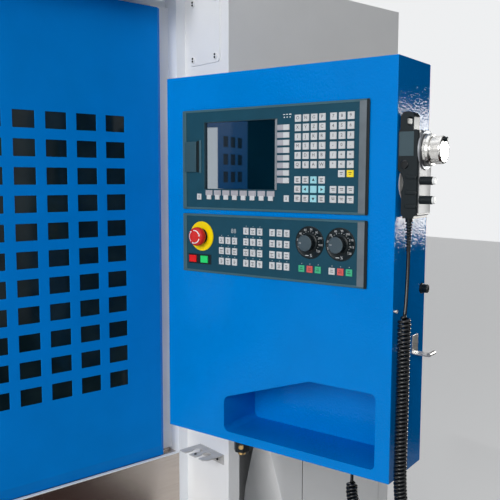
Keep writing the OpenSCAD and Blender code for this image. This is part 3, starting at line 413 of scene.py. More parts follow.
def inset(thickness, depth=0.0):
    bpy.ops.mesh.inset(thickness=thickness * MM, depth=depth * MM)


def stepped(obj, steps, wanted=outer_face):
    """Insets a face once for each step of (width, rise) in millimetres."""
    select_faces(obj, wanted)
    for width, rise in steps:
        inset(width, rise)
    done_editing()


def fluted(obj, wanted, width, depth, shade=25):
    """Sinks a groove into each of the wanted faces."""
    select_faces(obj, wanted)
    bpy.ops.mesh.inset(thickness=width * MM, depth=-depth * MM, use_individual=True)
    done_editing()
    smooth(obj, shade)


def soften(obj, width, segments=2, angle=35):
    """Rounds the sharp edges by a width in millimetres and smooths the rest."""
    only(obj)
    bevel = obj.modifiers.new("edges", "BEVEL")
    bevel.width = width * MM
    bevel.segments = segments
    bevel.limit_method = "ANGLE"
    bevel.angle_limit = math.radians(angle)
    bevel.harden_normals = False
    bpy.ops.object.modifier_apply(modifier=bevel.name)
    bpy.ops.object.shade_smooth_by_angle(angle=math.radians(angle))
    flatten = obj.modifiers.new("even_faces", "WEIGHTED_NORMAL")
    flatten.mode = "FACE_AREA"
    flatten.keep_sharp = True
    bpy.ops.object.modifier_apply(modifier=flatten.name)


def smooth(obj, angle=30):
    only(obj)
    bpy.ops.object.shade_smooth_by_angle(angle=math.radians(angle))


def pad(name, low, high, width=0, segments=2, steps=()):
    """A block whose outer face may be stepped and whose edges may be rounded."""
    obj = block(name, low, high)
    if steps:
        stepped(obj, steps)
    if width:
        soften(obj, width, segments)
    return obj


def joined(name, pieces):
    nothing_selected()
    for piece in pieces:
        piece.select_set(True)
    bpy.context.view_layer.objects.active = pieces[0]
    if len(pieces) > 1:
        bpy.ops.object.join()
    pieces[0].name = name
    return pieces[0]


def copy_at(piece, offset):
    """Another one of a piece, moved by millimetres, with its own mesh."""
    other = piece.copy()
    other.data = piece.data.copy()
    scene.collection.objects.link(other)
    other.data.transform(Matrix.Translation(Vector(offset) * MM))
    return other


def copies_at(piece, offsets):
    """One of a piece at each place; the piece itself goes."""
    made = [copy_at(piece, offset) for offset in offsets]
    bpy.data.objects.remove(piece)
    return made


def finish(obj, material, body, replaced=(), place=None):
    """Puts a piece in its place on its body, with its finish."""
    if place is not None:
        obj.data.transform(place)
    if material is not None:
        obj.data.materials.clear()
        obj.data.materials.append(material)
    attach(obj, body)
    if replaced:
        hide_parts(*replaced)
    return obj


def on_panel(obj, material, slot, body=CONTROL, replaced=()):
    """Finishes a piece that was made on the control cabinet's own axes."""
    return finish(obj, material, body, replaced, CABINET)


def two_tone(obj, first, second, is_second):
    """Gives the faces that are second, by centre in millimetres and normal, the other finish."""
    obj.data.materials.clear()
    obj.data.materials.append(first)
    obj.data.materials.append(second)
    for face in obj.data.polygons:
        face.material_index = 1 if is_second(face.center / MM, face.normal) else 0


def flat_on_face(point, turn=0):
    """Stands a flat shape up on the cabinet's face at a point, turned in that face."""
    stand = Matrix.Rotation(math.pi / 2, 4, "X") @ Matrix.Rotation(turn, 4, "Z")
    return Matrix.Translation(Vector(point) * MM) @ stand


def lettering(name, words, size, place):
    """Flat characters standing on the cabinet's face: words as (text, across, up)."""
    made = []
    for text, u, v in words:
        nothing_selected()
        bpy.ops.object.text_add(location=(0, 0, 0))
        obj = bpy.context.object
        obj.data.body = text
        obj.data.size = size * MM
        obj.data.align_x = "CENTER"
        obj.data.align_y = "CENTER"
        obj.data.resolution_u = 2
        bpy.ops.object.convert(target="MESH")
        obj = bpy.context.object
        obj.data.transform(flat_on_face((u, place, v)))
        made.append(obj)
    return joined(name, made)


def arrowhead(radius, point, turn):
    """A flat triangle on the cabinet's face."""
    nothing_selected()
    bpy.ops.mesh.primitive_circle_add(vertices=3, radius=radius * MM, fill_type="NGON", location=(0, 0, 0))
    obj = bpy.context.object
    obj.data.transform(flat_on_face(point, turn))
    return obj


def body_with(node):
    for name, members in frame["record"]["behaviour"]["bodies"].items():
        if node in members:
            return name
    raise ValueError(node)


def dressed(node, width=1.0, segments=2, angle=35):
    """The CAD node's own shape and finish with its edges rounded, shown in its place."""
    source = nodes[node]
    obj = source.copy()
    obj.data = source.data.copy()
    obj.name = node + "_finished"
    scene.collection.objects.link(obj)
    only(obj)
    bpy.ops.object.mode_set(mode="EDIT")
    bpy.ops.mesh.select_all(action="SELECT")
    bpy.ops.mesh.remove_doubles(threshold=0.00001)
    bpy.ops.mesh.dissolve_limited(angle_limit=math.radians(1))
    done_editing()
    if width:
        soften(obj, width, segments, angle)
    else:
        smooth(obj, angle)
    return finish(obj, None, body_with(node), [node])


# ---------- pendant cord ----------

CORD_ROUTE = [
    (534, 24, 462), (534, 24, 440), (535, 22, 400), (536, 18, 360), (537, 13, 330),
    (538, 8, 312), (538, 6, 300), (538, 5, 260), (538, 5, 220), (538, 5, 180),
    (538, 5, 140), (538, 4, 100), (538, 4, 60), (538, 4, 20), (539, 7, -20),
    (541, 14, -55), (543, 26, -85), (540, 44, -112), (528, 66, -135), (508, 86, -150),
    (480, 98, -156), (450, 100, -150), (425, 98, -135), (408, 94, -112), (401, 90, -85),
    (400, 90, -60), (400, 90, -42), (400, 90, -31),
]
# the coil runs between two points of the route; its sizes are in millimetres
COIL_FROM, COIL_TO = 6, 25
COIL_R = 8.75
COIL_PITCH = 7.0
WIRE = 6.5
TURN_STEPS = 14
STRAIGHT_STEP = 4.0
COIL_OVER = 4
COIL_SWELL = 10
SAMPLES = 40
GLAND_U, GLAND_W = CORD_ROUTE[-1][:2]


def curve_through(points, at):
    """A smooth curve through the route's points."""
    i = min(int(at), len(points) - 2)
    t = at - i
    p0 = Vector(points[max(i - 1, 0)])
    p1, p2 = Vector(points[i]), Vector(points[i + 1])
    p3 = Vector(points[min(i + 2, len(points) - 1)])
    return 0.5 * (
        2 * p1 + (p2 - p0) * t + (2 * p0 - 5 * p1 + 4 * p2 - p3) * t * t
        + (3 * p1 - p0 - 3 * p2 + p3) * t ** 3
    )


def route_samples():
    """Points along the route, each with the length travelled so far."""
    samples = []
    length = 0.0
    for i in range((len(CORD_ROUTE) - 1) * SAMPLES + 1):
        point = curve_through(CORD_ROUTE, i / SAMPLES)
        if samples:
            length += (point - samples[-1][0]).length
        samples.append((point, length))
    return samples


def point_at(samples, wanted):
    """The point that lies a length along the sampled route."""
    i = min(bisect.bisect_left(samples, wanted, key=lambda s: s[1]), len(samples) - 1)
    i = max(i - 1, 0)
    (a, from_length), (b, to_length) = samples[i], samples[i + 1]
    return a.lerp(b, (wanted - from_length) / max(to_length - from_length, 1e-6))


def cord_points():
    """The wire's middle line: plain along the ends, wound round the route between them."""
    samples = route_samples()
    length = samples[-1][1]
    coil_start = samples[COIL_FROM * SAMPLES][1] - COIL_OVER
    coil_end = samples[COIL_TO * SAMPLES][1] + COIL_OVER
    points = []
    travelled = 0.0
    side = Vector((0, 1, 0))
    other = Vector((1, 0, 0))
    phase = 0.0
    last = None
    while travelled < length:
        centre = point_at(samples, travelled)
        if last is not None:
            along = (centre - last).normalized()
            side = (side - along * side.dot(along)).normalized()
            other = along.cross(side)
        inside = min(travelled - coil_start, coil_end - travelled)
        swell = min(max(inside / COIL_SWELL, 0), 1)
        swell = swell * swell * (3 - 2 * swell)
        offset = Vector()
        step = STRAIGHT_STEP
        if inside > 0:
            phase += 2 * math.pi / TURN_STEPS
            offset = (side * math.cos(phase) + other * math.sin(phase)) * COIL_R * swell
            step = COIL_PITCH / TURN_STEPS
        points.append(centre + offset)
        last = centre
        travelled += step
    if (points[-1] - Vector(CORD_ROUTE[-1])).length < STRAIGHT_STEP / 2:
        points.pop()
    points.append(Vector(CORD_ROUTE[-1]))
    return points


def make_cord():
    """The wire itself, and its length in metres."""
    points = cord_points()
    curve = bpy.data.curves.new("pendant_cord", "CURVE")
    curve.dimensions = "3D"
    curve.bevel_depth = WIRE / 2 * MM
    curve.bevel_resolution = 3
    curve.use_fill_caps = True
    spline = curve.splines.new("POLY")
    spline.points.add(len(points) - 1)
    for place, point in zip(spline.points, points):
        place.co = (*on_cabinet(*point), 1)
    spline.use_smooth = True
    obj = bpy.data.objects.new("pendant_cord", curve)
    scene.collection.objects.link(obj)
    curve.materials.append(black_rubber)
    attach(obj, CONTROL)
    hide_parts("cord")
    return obj, sum((b - a).length for a, b in zip(points, points[1:])) * MM


def make_strain_relief():
    """The ribbed sleeve where the cord leaves the pendant, thinner towards its end."""
    profile = [(6.4, -4), (6.4, 3)]
    for i in range(10):
        radius = 6.3 - i * 0.24
        start = 4 + i * 4.9
        profile += [(radius - 2.3, start), (radius - 2.3, start + 1.8), (radius, start + 2.1)]
        profile += [(radius, start + 4.0), (radius - 2.3, start + 4.4)]
    profile += [(3.5, 55.5), (3.3, 55.6)]
    top = CORD_ROUTE[0][:2] + (466,)
    relief = turned("cord_relief", top, (0.012, -0.02, -1), profile, 32, 40)
    return on_panel(relief, black_plastic, "black_rubber")


def make_gland():
    """The nut and collar where the cord goes into the cabinet's floor."""
    nut = turned("gland_nut", (GLAND_U, GLAND_W, 0), (0, 0, -1), [(14, 0), (14, 9), (13, 10)], 6, 0)
    soften(nut, 0.5)
    profile = [(11.6, 0), (11.6, 12), (10.8, 15), (8, 20), (4.2, 22)]
    collar = turned("gland_collar", (GLAND_U, GLAND_W, -10), (0, 0, -1), profile, 32)
    return on_panel(joined("cord_gland", [nut, collar]), black_plastic, "black_rubber")


def make_hook():
    """The cranked hanger for the coiled cord, with a rolled tip, and the peg above it."""
    hook = pad("cord_hook", (CAB_W, 84, 217), (CAB_W + 33, 110, 219.5), 0.6)
    wall = pad("hook_wall", (CAB_W, 84, 219.4), (CAB_W + 2, 110, 252), 0.6)
    roll = [(3.4, 0), (4, 0.6), (4, 25.4), (3.4, 26)]
    tip = turned("hook_tip", (CAB_W + 33, 84, 221), (0, 1, 0), roll, 24)
    pin = [(2.4, 0), (2.4, 4), (3.4, 4.3), (3.4, 5.4), (2.8, 6)]
    peg = turned("cord_peg", (CAB_W, 5, 309), (1, 0, 0), pin, 24)
    hanger = joined("cord_hanger", [hook, wall, tip, peg])
    on_panel(hanger, bracket_steel, CAD_SLOTS["cord_fittings"], replaced=["cord_fittings"])


cord, cord_length = make_cord()
relief = make_strain_relief()
gland = make_gland()
make_hook()

# ---------- operator panel and machine panel ----------

PANEL_W = 424
PANEL_U = (CAB_W - PANEL_W) / 2 - 2.5
UPPER_V, UPPER_H = 473, 200
LOWER_V, LOWER_H = 344, 120
FACE = -3
OUT = (0, -1, 0)
SUNK = 0.2
DISPLAY_DEPTH = 5.5
PRINT_LIFT = 1.72


def panel_pad(name, low, high, rise, width=0, segments=2, steps=(), sunk=SUNK):
    """A block on the panel's face between two (across, up) corners, standing out by its rise."""
    corners = (low[0], FACE - rise, low[1]), (high[0], FACE + sunk, high[1])
    return pad(name, *corners, width, segments, steps)


def open_frame(obj, width):
    """Turns a plate into a frame: its front and back lose their middles, and the edges are joined."""
    for side in (-1, 1):
        select_faces(obj, lambda c, n: n.y * side > 0.9)
        inset(width)
        bpy.ops.mesh.delete(type="FACE")
    bpy.ops.mesh.select_mode(type="EDGE")
    bpy.ops.mesh.select_all(action="DESELECT")
    bpy.ops.mesh.select_non_manifold()
    bpy.ops.mesh.bridge_edge_loops()
    bpy.ops.mesh.select_all(action="SELECT")
    bpy.ops.mesh.normals_make_consistent(inside=False)
    done_editing()


def panel_plate(name, node, height, base_v):
    """The moulded front: a plate with a thin raised rim and a lighter strip on each side."""
    dressed(node, 0.6)
    right, top = PANEL_U + PANEL_W, base_v + height
    # The rim's lighter plastic is painted light on the plate's edge.
    rim = panel_pad(name + "_rim", (PANEL_U + 0.4, base_v + 0.4), (right - 0.4, top - 0.4), 0.7, sunk=-0.02)
    open_frame(rim, 4.2)
    soften(rim, 0.3)
    on_panel(rim, rim_plastic, "slate_plastic")
    # The left strip's lighter plastic is painted light where the edge catches the light; the right strip is the
    # silver trim.
    for low_u, high_u, tone, slot in (
        (405.5, 419.2, strip_grey, "brushed_stainless"), (4.4, 10.5, rim_plastic, "slate_plastic")
    ):
        low, high = (PANEL_U + low_u, base_v + 3), (PANEL_U + high_u, top - 3)
        strip = panel_pad(name + "_strip", low, high, 1.1, 0.2, 1, [(0.6, 0.25)], -0.02)
        on_panel(strip, tone, slot)
    # A black strip past the plate's right end: partly a gasket, partly painted shade for the shadow gap there.
    low, high = (PANEL_U + 419.4, base_v + 0.2), (right + 0.4, top - 0.2)
    edge = panel_pad(name + "_dark_edge", low, high, 1.5, 0.5, sunk=-0.02)
    on_panel(edge, black_plastic, "black_plastic")


def make_keycap(name, width, height):
    """One key: a low cap with a rounded rim and a slightly dished top."""
    return panel_pad(name, (0, 0), (width, height), 1.5, 0.25, 1, [(0.7, 0.25), (0.9, -0.12)])


def grid(u, v, columns, rows, pitch_u, pitch_v, skip=()):
    """The places of a block of keys, column by column, from its lower left one."""
    return [
        (u + i * pitch_u, 0, v + j * pitch_v)
        for i in range(columns) for j in range(rows) if (i, j) not in skip
    ]


LETTER_PITCH = (17.1, 16.9)
DIGIT_PITCH = (17.3, 16.9)
CURSOR_PITCH = (17.1, 17)
EDITING_PITCH = (17.3, 17)
MODE_PITCH = (16.5, 21)
START_PITCH = (17.5, 0)
ALPHA = (PANEL_U + 274, UPPER_V + 82)
DIGITS = (PANEL_U + 348, UPPER_V + 82)
CURSOR = (PANEL_U + 274, UPPER_V + 20.5)
EDITING = (PANEL_U + 349, UPPER_V + 20.5)
BACK = (PANEL_U + 365.3, UPPER_V + 66)
ARROWS = ((2, 2), (1, 1), (2, 1), (3, 1), (2, 0))
START_KEYS = {
    "feed": (PANEL_U + 285, LOWER_V + 20, ("green", "red", "green")),
    "speed": (PANEL_U + 349, LOWER_V + 20, ("white", "red", "green")),
}
START_FINISH = {
    "green": (key_green, "green_plastic"),
    "red": (key_red, "red_plastic"),
    "white": (key_plastic, "key_plastic"),
}
MODE_BLOCKS = tuple((PANEL_U + u, LOWER_V + 20, rows) for u, rows in ((96, 3), (157, 4), (219, 4)))


def make_keys():
    """All the plain keys of both panels, and the coloured ones as pieces of their own."""
    cursor_keys = grid(*CURSOR, 4, 3, *CURSOR_PITCH)
    crossed = [cursor_keys[i * 3 + j] for i, j in ARROWS]
    plain = grid(*ALPHA, 4, 6, *LETTER_PITCH) + grid(*DIGITS, 3, 6, *DIGIT_PITCH)
    plain += grid(*CURSOR, 4, 3, *CURSOR_PITCH, skip=ARROWS) + grid(*EDITING, 3, 2, *EDITING_PITCH)
    keys = copies_at(make_keycap("key", 13.2, 12.8), plain + crossed)
    grey, cyan = keys[:len(plain)], keys[len(plain):]
    low_keys = copies_at(make_keycap("low_key", 13.4, 12.4), grid(*BACK, 2, 1, *DIGIT_PITCH))
    grey.append(low_keys[0])
    small_at = [(PANEL_U + u, 0, UPPER_V + 20) for u in (39, 251)]
    grey += copies_at(make_keycap("small_key", 11, 12), small_at)
    mode_at = [place for u, v, rows in MODE_BLOCKS for place in grid(u, v, 3, rows, *MODE_PITCH)]
    grey += copies_at(make_keycap("mode_key", 12.2, 13.4), mode_at)
    on_panel(joined("panel_keys_grey", grey), key_plastic, "key_plastic", replaced=["panel_keys"])
    on_panel(joined("panel_keys_cyan", cyan), key_cyan, "key_plastic")
    on_panel(joined("panel_key_yellow", low_keys[1:]), key_yellow, "yellow_plastic")
    for side, (u, v, colours) in START_KEYS.items():
        places = grid(u, v, len(colours), 1, *START_PITCH)
        for i, key in enumerate(copies_at(make_keycap("start_key", 12.6, 12.4), places)):
            key.name = "%s_key_%d" % (side, i)
            on_panel(key, *START_FINISH[colours[i]])


def make_softkeys():
    """Eight keys beside the display, half dark and half pale, and eight T-shaped ones below it."""
    beside = [(PANEL_U + 235, 0, UPPER_V + 54.5 + i * 14) for i in range(8)]
    below = [(PANEL_U + 61.5 + i * 21.5, 0, UPPER_V + 21) for i in range(8)]
    for tone, material, rise, step, halves in (
        ("shade", key_shade, 1.3, (0.5, 0.2),
         ((beside, (0, 0), (14, 10.2)), (below, (0, 8), (17.5, 18.5)))),
        ("pale", key_plastic, 1.7, (0.6, 0.3),
         ((beside, (13.8, 0), (27, 10.2)), (below, (3.2, 0), (14.2, 9)))),
    ):
        keys = []
        for places, low, high in halves:
            keys += copies_at(panel_pad("softkey", low, high, rise, 0.25, 1, [step]), places)
        on_panel(joined("softkeys_" + tone, keys), material, "key_plastic")


def make_display():
    """The glass deep in its opening, three dark walls and a slope round it whose pale grey is painted light, the
    lamps above.
    """
    left, right = PANEL_U + 57.2, PANEL_U + 233.8
    low, high = UPPER_V + 41.2, UPPER_V + 174.8
    thin = 0.7
    walls = [
        pad("display_wall", (a, FACE - 0.2, b), (c, FACE + DISPLAY_DEPTH, d), 0.15, 1)
        for a, b, c, d in (
            (left, low, left + thin, high), (left, low, right, low + thin), (left, high - thin, right, high)
        )
    ]
    slope = panel_pad("display_slope", (right - 7.5, low + 0.3), (right, high - 0.3), 0.2, sunk=1)
    select_faces(slope, lambda c, n: n.x < -0.9)
    bpy.ops.transform.translate(value=(0, (DISPLAY_DEPTH - 0.9) * MM, 0))
    done_editing()
    soften(slope, 0.2, 1)
    # The slope's pale grey, against the dark of the other walls, is painted light.
    on_panel(slope, recess_grey, "slate_plastic")
    on_panel(joined("display_walls", walls), flap_plastic, "slate_plastic")
    glass = pad("display_glass", (left + 0.5, FACE + DISPLAY_DEPTH - 0.6, low + 0.5),
                (right - 0.5, FACE + DISPLAY_DEPTH + 1, high - 0.5), 0.1, 1, [(1.2, 0.06)])
    on_panel(glass, screen_glass, "screen", replaced=["display"])
    lamp = turned("panel_lamp", (0, FACE, 0), OUT, [(1.2, -0.2), (1.2, 0.3), (0.9, 0.5)], 16, 0)
    lamps = copies_at(lamp, [(PANEL_U + u, 0, UPPER_V + 176) for u in (250, 256.5, 263)])
    for u, wide in ((249.8, 4.4), (256.2, 4), (263, 5)):
        middle, mark_v = PANEL_U + u, UPPER_V + 180.4
        ends = (middle - wide / 2, mark_v), (middle + wide / 2, mark_v + 1.4)
        lamps.append(panel_pad("lamp_mark", *ends, 0.12, 0.05, 1, sunk=0.1))
    on_panel(joined("panel_lamps", lamps), legend_white, "key_plastic")


def make_card_cover():
    """The flap over the card slot on the left, with a shallow black strip beside it, partly a slot and partly the
    flap's painted shadow.
    """
    for name, us, vs, rise, width, step, material, slot in (
        ("card_flap", (8, 38), (76, 137), 3.4, 0.5, (1.6, 0.5), flap_plastic, "slate_plastic"),
        # The black strip beside the flap is partly a slot and partly painted shadow of the flap.
        ("card_slot_shadow", (38.2, 45), (75, 139), 0.3, 0, (0.8, -0.15), black_plastic, "black_plastic"),
        # The lip's lighter plastic is painted light on its edge.
        ("card_lip", (45, 50), (74, 140), 1.4, 0.4, (0.9, 0.3), rim_plastic, "slate_plastic"),
    ):
        low, high = zip((PANEL_U + us[0], PANEL_U + us[1]), (UPPER_V + vs[0], UPPER_V + vs[1]))
        on_panel(panel_pad(name, low, high, rise, width, steps=[step]), material, slot)


LETTER_ROWS = ("ONGP", "XYZC", "IJKR", "MSTL", "FDHB", "QEAW")
DIGIT_ROWS = ("789", "456", "123", "-0.", "/+=", "*<>")
# where prints and lamps stand on each kind of key, from its lower left corner
LETTER_AT = (6.2, 6.8)
CURSOR_AT = (6.6, 6.4)
BACK_AT = (6.7, 6.2)
START_AT, START_LAMP_AT = (6.3, 6.2), (6.3, 15.6)
MODE_AT, MODE_LAMP_AT = (6.1, 6.7), (6.1, 16.4)
# the bars printed on each kind of key: across, up and length
CURSOR_BARS = ((0, 2.2, 6.5), (-0.8, -0.2, 5), (0, -2.8, 6.5))
EDITING_BARS = ((0, 2, 7), (0.6, -0.8, 5.6))
BACK_BARS = ((0, 2, 6), (0, -1, 4))
START_BARS = ((0, 2, 5), (0, -1.4, 7))


def bar_mark(u, v, wide, tall=1.1, lift=PRINT_LIFT):
    low, high = (u - wide / 2, v - tall / 2), (u + wide / 2, v + tall / 2)
    return panel_pad("mark", low, high, lift, sunk=0.3 - lift)


def bars(places, at, rows):
    """Short bars on keys: rows as (across, up, length) from a point on each key."""
    return [bar_mark(u + at[0] + a, v + at[1] + b, wide) for u, _, v in places for a, b, wide in rows]


def mode_bars():
    """Bars on the mode keys, of lengths that change from key to key."""
    marks = []
    for u, v, rows in MODE_BLOCKS:
        for i in range(3):
            for j in range(rows):
                wide = 4.4 + (i * 2 + j * 3) % 4
                place = (u + i * MODE_PITCH[0], 0, v + j * MODE_PITCH[1])
                lines = ((0, 2.3, wide), (0.5 - j % 2, -0.4, 9.5 - wide), (0, -2.9, wide - 1))
                marks += bars([place], MODE_AT, lines)
    return marks


def make_legends():
    """Plain characters on the keys, arrows on the cursor keys and short bars on the others."""
    words = []
    for rows, (u, v), pitch in ((LETTER_ROWS, ALPHA, LETTER_PITCH), (DIGIT_ROWS, DIGITS, DIGIT_PITCH)):
        for j, row in enumerate(reversed(rows)):
            up_row = v + LETTER_AT[1] + j * pitch[1]
            words += [(sign, u + LETTER_AT[0] + i * pitch[0], up_row) for i, sign in enumerate(row)]
    marks = [lettering("key_letters", words, 8.6, FACE - PRINT_LIFT)]
    marks += bars(grid(*CURSOR, 4, 3, *CURSOR_PITCH, skip=ARROWS), CURSOR_AT, CURSOR_BARS)
    marks += bars(grid(*EDITING, 3, 2, *EDITING_PITCH), CURSOR_AT, EDITING_BARS)
    marks += bars(grid(*BACK, 2, 1, *DIGIT_PITCH), BACK_AT, BACK_BARS)
    marks += [bar_mark(PANEL_U + u, UPPER_V + 26, 1.4, 6) for u in (44.5, 256.5)]
    marks += mode_bars()
    for u, v, _ in START_KEYS.values():
        marks += bars(grid(u, v, 3, 1, *START_PITCH), START_AT, START_BARS)
    for (i, j), turn in (((2, 2), 0), ((1, 1), 90), ((3, 1), -90), ((2, 0), 180)):
        u = CURSOR[0] + CURSOR_AT[0] + i * CURSOR_PITCH[0]
        v = CURSOR[1] + CURSOR_AT[1] + j * CURSOR_PITCH[1]
        marks.append(arrowhead(3.4, (u, FACE - PRINT_LIFT, v), math.radians(turn)))
    on_panel(joined("key_legends", marks), legend_ink, "black_plastic")


def make_key_lamps():
    """A small lamp over each mode and start key, and the plain figures of the tool readout."""
    places = []
    for u, v, rows in MODE_BLOCKS:
        lit = 1 if u == MODE_BLOCKS[-1][0] else rows
        places += grid(u + MODE_LAMP_AT[0], v + MODE_LAMP_AT[1], 3, lit, *MODE_PITCH)
    for u, v, _ in START_KEYS.values():
        places += grid(u + START_LAMP_AT[0], v + START_LAMP_AT[1], 3, 1, *START_PITCH)
    lamp = turned("key_lamp", (0, FACE, 0), OUT, [(0.75, -0.2), (0.75, 0.2), (0.5, 0.35)], 12, 0)
    on_panel(joined("key_lamps", copies_at(lamp, places)), lamp_grey, "key_plastic")
    digits = lettering("tool_readout", [("88", PANEL_U + 132, LOWER_V + 88)], 13, FACE - 0.15)
    on_panel(digits, readout_grey, "slate_plastic")


DIALS = ((PANEL_U + 308, LOWER_V + 75.5), (PANEL_U + 371.7, LOWER_V + 75.5))
DIAL_NUMBERS = ("0 20 40 60 80 90 100 110 120", "50 60 70 80 90 100 110 115 120")
DIAL_FROM, DIAL_TO = math.radians(200), math.radians(-38)
DIAL_PRINT = 2.06


def make_dial(number, feed):
    """The scale disc under an override knob: ticks and plain numbers over the top and right."""
    u, v = DIALS[number]
    profile = [(30.2, 0), (30.2, 1.2), (29.6, 1.8), (28, 2.0), (27.6, 1.8), (19, 1.8)]
    on_panel(turned(feed + "_scale", (u, FACE, v), OUT, profile, 64), black_plastic, "black_plastic")
    signs = DIAL_NUMBERS[number].split()
    last = 2 * len(signs) - 2
    words, marks = [], []
    for i in range(last + 1):
        angle = DIAL_FROM + (DIAL_TO - DIAL_FROM) * i / last
        tick = block("tick", (19.4, FACE - 2.1, -0.35), (21.4 - 0.8 * (i % 2), FACE - 1.7, 0.35))
        tick.data.transform(Matrix.Translation(Vector((u, 0, v)) * MM) @ Matrix.Rotation(-angle, 4, "Y"))
        marks.append(tick)
        if i % 2 == 0:
            words.append((signs[i // 2], u + 24.5 * math.cos(angle), v + 24.5 * math.sin(angle)))
    wave = bar_mark(u - 4.5, v - 24, 7, 1.2, 2.1)
    percent = lettering("percent", [("%", u + 4, v - 24)], 7.5, FACE - DIAL_PRINT)
    scale = lettering(feed + "_numbers", words, 5.4, FACE - DIAL_PRINT)
    on_panel(joined(feed + "_numbers", [scale, percent, wave] + marks), scale_grey, "key_plastic")


def every_other(a, b, step):
    """Whether a face is an even one round an axis, counted in steps of an angle in degrees."""
    return round(math.degrees(math.atan2(b, a)) / step - 0.5) % 2 == 0


def make_knob(number, node, body):
    """A fluted override knob with a flat face and a pointer line."""
    u, v = DIALS[number]
    profile = [(17.6, 0), (17.6, 2.2), (15.6, 3.2), (15.2, 4), (15.2, 16), (14.6, 17.2), (13.6, 17.5)]
    profile.append((13.4, 17.2))
    knob = turned(node + "_body", (u, FACE - 1.9, v), OUT, profile, 48, 0)
    fluted(knob, lambda c, n: abs(n.y) < 0.3 and -19 < c.y < -7
           and every_other(c.x - u, c.z - v, 7.5), 0.25, 0.5)
    two_tone(knob, black_plastic, knob_grey, lambda c, n: n.y < -0.8 and c.y < -18)
    on_panel(knob, None, CAD_SLOTS[node], body, [node])
    pointer = panel_pad(node + "_pointer", (u - 12, v - 0.4), (u - 7, v + 0.4), 19.5, 0.1, 1, sunk=-19.05)
    on_panel(pointer, scale_grey, "key_plastic", body)


def make_estop():
    """The yellow plate, the black collar and the red mushroom with its white arrows."""
    u, v = PANEL_U + 51, LOWER_V + 74.5
    plate = turned("estop_plate", (u, FACE, v), OUT, [(30, 0), (30, 1.6), (29.4, 2.2), (14, 2.2)], 64)
    on_panel(plate, estop_yellow, "yellow_plastic", replaced=["estop_collar"])
    sleeve = turned("estop_sleeve", (u, FACE - 2.1, v), OUT, [(16, 0), (16, 1.0), (15.4, 1.4)])
    on_panel(sleeve, black_plastic, "black_plastic")
    profile = [(10.8, -14), (10.8, 8), (13, 9.8), (17.6, 10.4), (18.6, 11.3), (19, 12.6), (19, 17.2)]
    profile += [(18.4, 19.8), (17.2, 21.8), (15.4, 23.4), (13, 24.6), (10, 25.5), (6, 26), (2, 26.1)]
    head = turned("estop_mushroom", (u, FACE, v), OUT, profile, 64, 50)
    on_panel(head, estop_red, "red_plastic", "estop_head", ["estop_button"])
    arrows = []
    for turn in (0, 120, 240):
        arc = turned("estop_arc", (0, 0, 0), OUT, [(13.6, 24.45), (11.9, 25.05)], 64, 0)
        select_faces(arc, lambda c, n: not 20 < (math.degrees(math.atan2(c.z, c.x)) - turn) % 360 < 104
                     or math.hypot(c.x, c.z) < 8)
        bpy.ops.mesh.delete(type="FACE")
        done_editing()
        angle = math.radians(turn + 14)
        point = (12.8 * math.cos(angle), -24.95, 12.8 * math.sin(angle))
        arrows += [arc, arrowhead(2.8, point, angle + math.pi)]
    marks = joined("estop_arrows", arrows)
    marks.data.transform(Matrix.Translation(Vector((u, FACE, v)) * MM))
    on_panel(marks, legend_white, "key_plastic", "estop_head")


CAP_W, CAP_TALL = 18.7, 14.3
CAP_STEP = 30.4
CAP_GAP = 0.5


def cut_away(obj, cutter):
    cut = obj.modifiers.new("opening", "BOOLEAN")
    cut.object = cutter
    cut.operation = "DIFFERENCE"
    only(obj)
    bpy.ops.object.modifier_apply(modifier=cut.name)
    bpy.data.objects.remove(cutter)


def make_push_caps():
    """The two square illuminated caps in their black surround."""
    u, v = PANEL_U + 17.6, LOWER_V + 20
    surround = panel_pad("cap_surround", (u - 3, v - 2.8), (u + 57.6, v + 17.2), 0.9, sunk=-0.01)
    for i, body, node, colour in (
        (0, "stop_cap", "stop_button", cap_red), (1, "start_cap", "start_button", cap_green)
    ):
        low, high = (u + i * CAP_STEP, v), (u + i * CAP_STEP + CAP_W, v + CAP_TALL)
        cap = panel_pad(node + "_cap", low, high, 2.2, 0.4, steps=[(1.4, 0.3), (1.0, -0.2)], sunk=8)
        on_panel(cap, colour, CAD_SLOTS[node], body, [node])
        hole = [p - CAP_GAP for p in low], [p + CAP_GAP for p in high]
        cut_away(surround, panel_pad("cutter", *hole, 5, sunk=5))
    soften(surround, 0.3, 1)
    on_panel(surround, black_plastic, "black_plastic")


panel_plate("operator", "operator_panel", UPPER_H, UPPER_V)
panel_plate("machine", "machine_panel", LOWER_H, LOWER_V)
make_keys()
make_softkeys()
make_display()
make_card_cover()
make_legends()
make_key_lamps()
for number, feed in enumerate(("feed", "speed")):
    make_dial(number, feed)
make_knob(0, "feed_knob", "feed_dial")
make_knob(1, "spindle_knob", "speed_dial")
make_estop()
make_push_caps()

# ---------- control cabinet and pendant ----------

RIGHT = (1, 0, 0)
PENDANT_BACK = CAB_W + 1
PENDANT_W0, PENDANT_W1 = 4, 62
PENDANT_MID = (PENDANT_W0 + PENDANT_W1) / 2
PENDANT_V = 470
PENDANT_FRONT = PENDANT_BACK + 36
RING_V = 584.5
RING = (PENDANT_FRONT, PENDANT_MID, RING_V)


def make_cabinet():
    """The shell and its cover, the gasket between them and the lock."""
    dressed("cabinet_shell", 1.6, 3, 40)
    dressed("cabinet_cover", 1.6, 3, 40)
    gasket = pad("cabinet_gasket", (3, 134.2, 3), (CAB_W - 3, 135.8, CAB_H - 3), 0.5)
    on_panel(gasket, black_rubber, "black_rubber")
    profile = [(10, 0), (10, 2), (9, 3), (8, 3.2), (8, 12), (7.4, 13), (3, 13.2), (2.6, 12.4)]
    on_panel(turned("cabinet_lock", (CAB_W, 122, 335), RIGHT, profile, 32), black_plastic, "black_plastic")


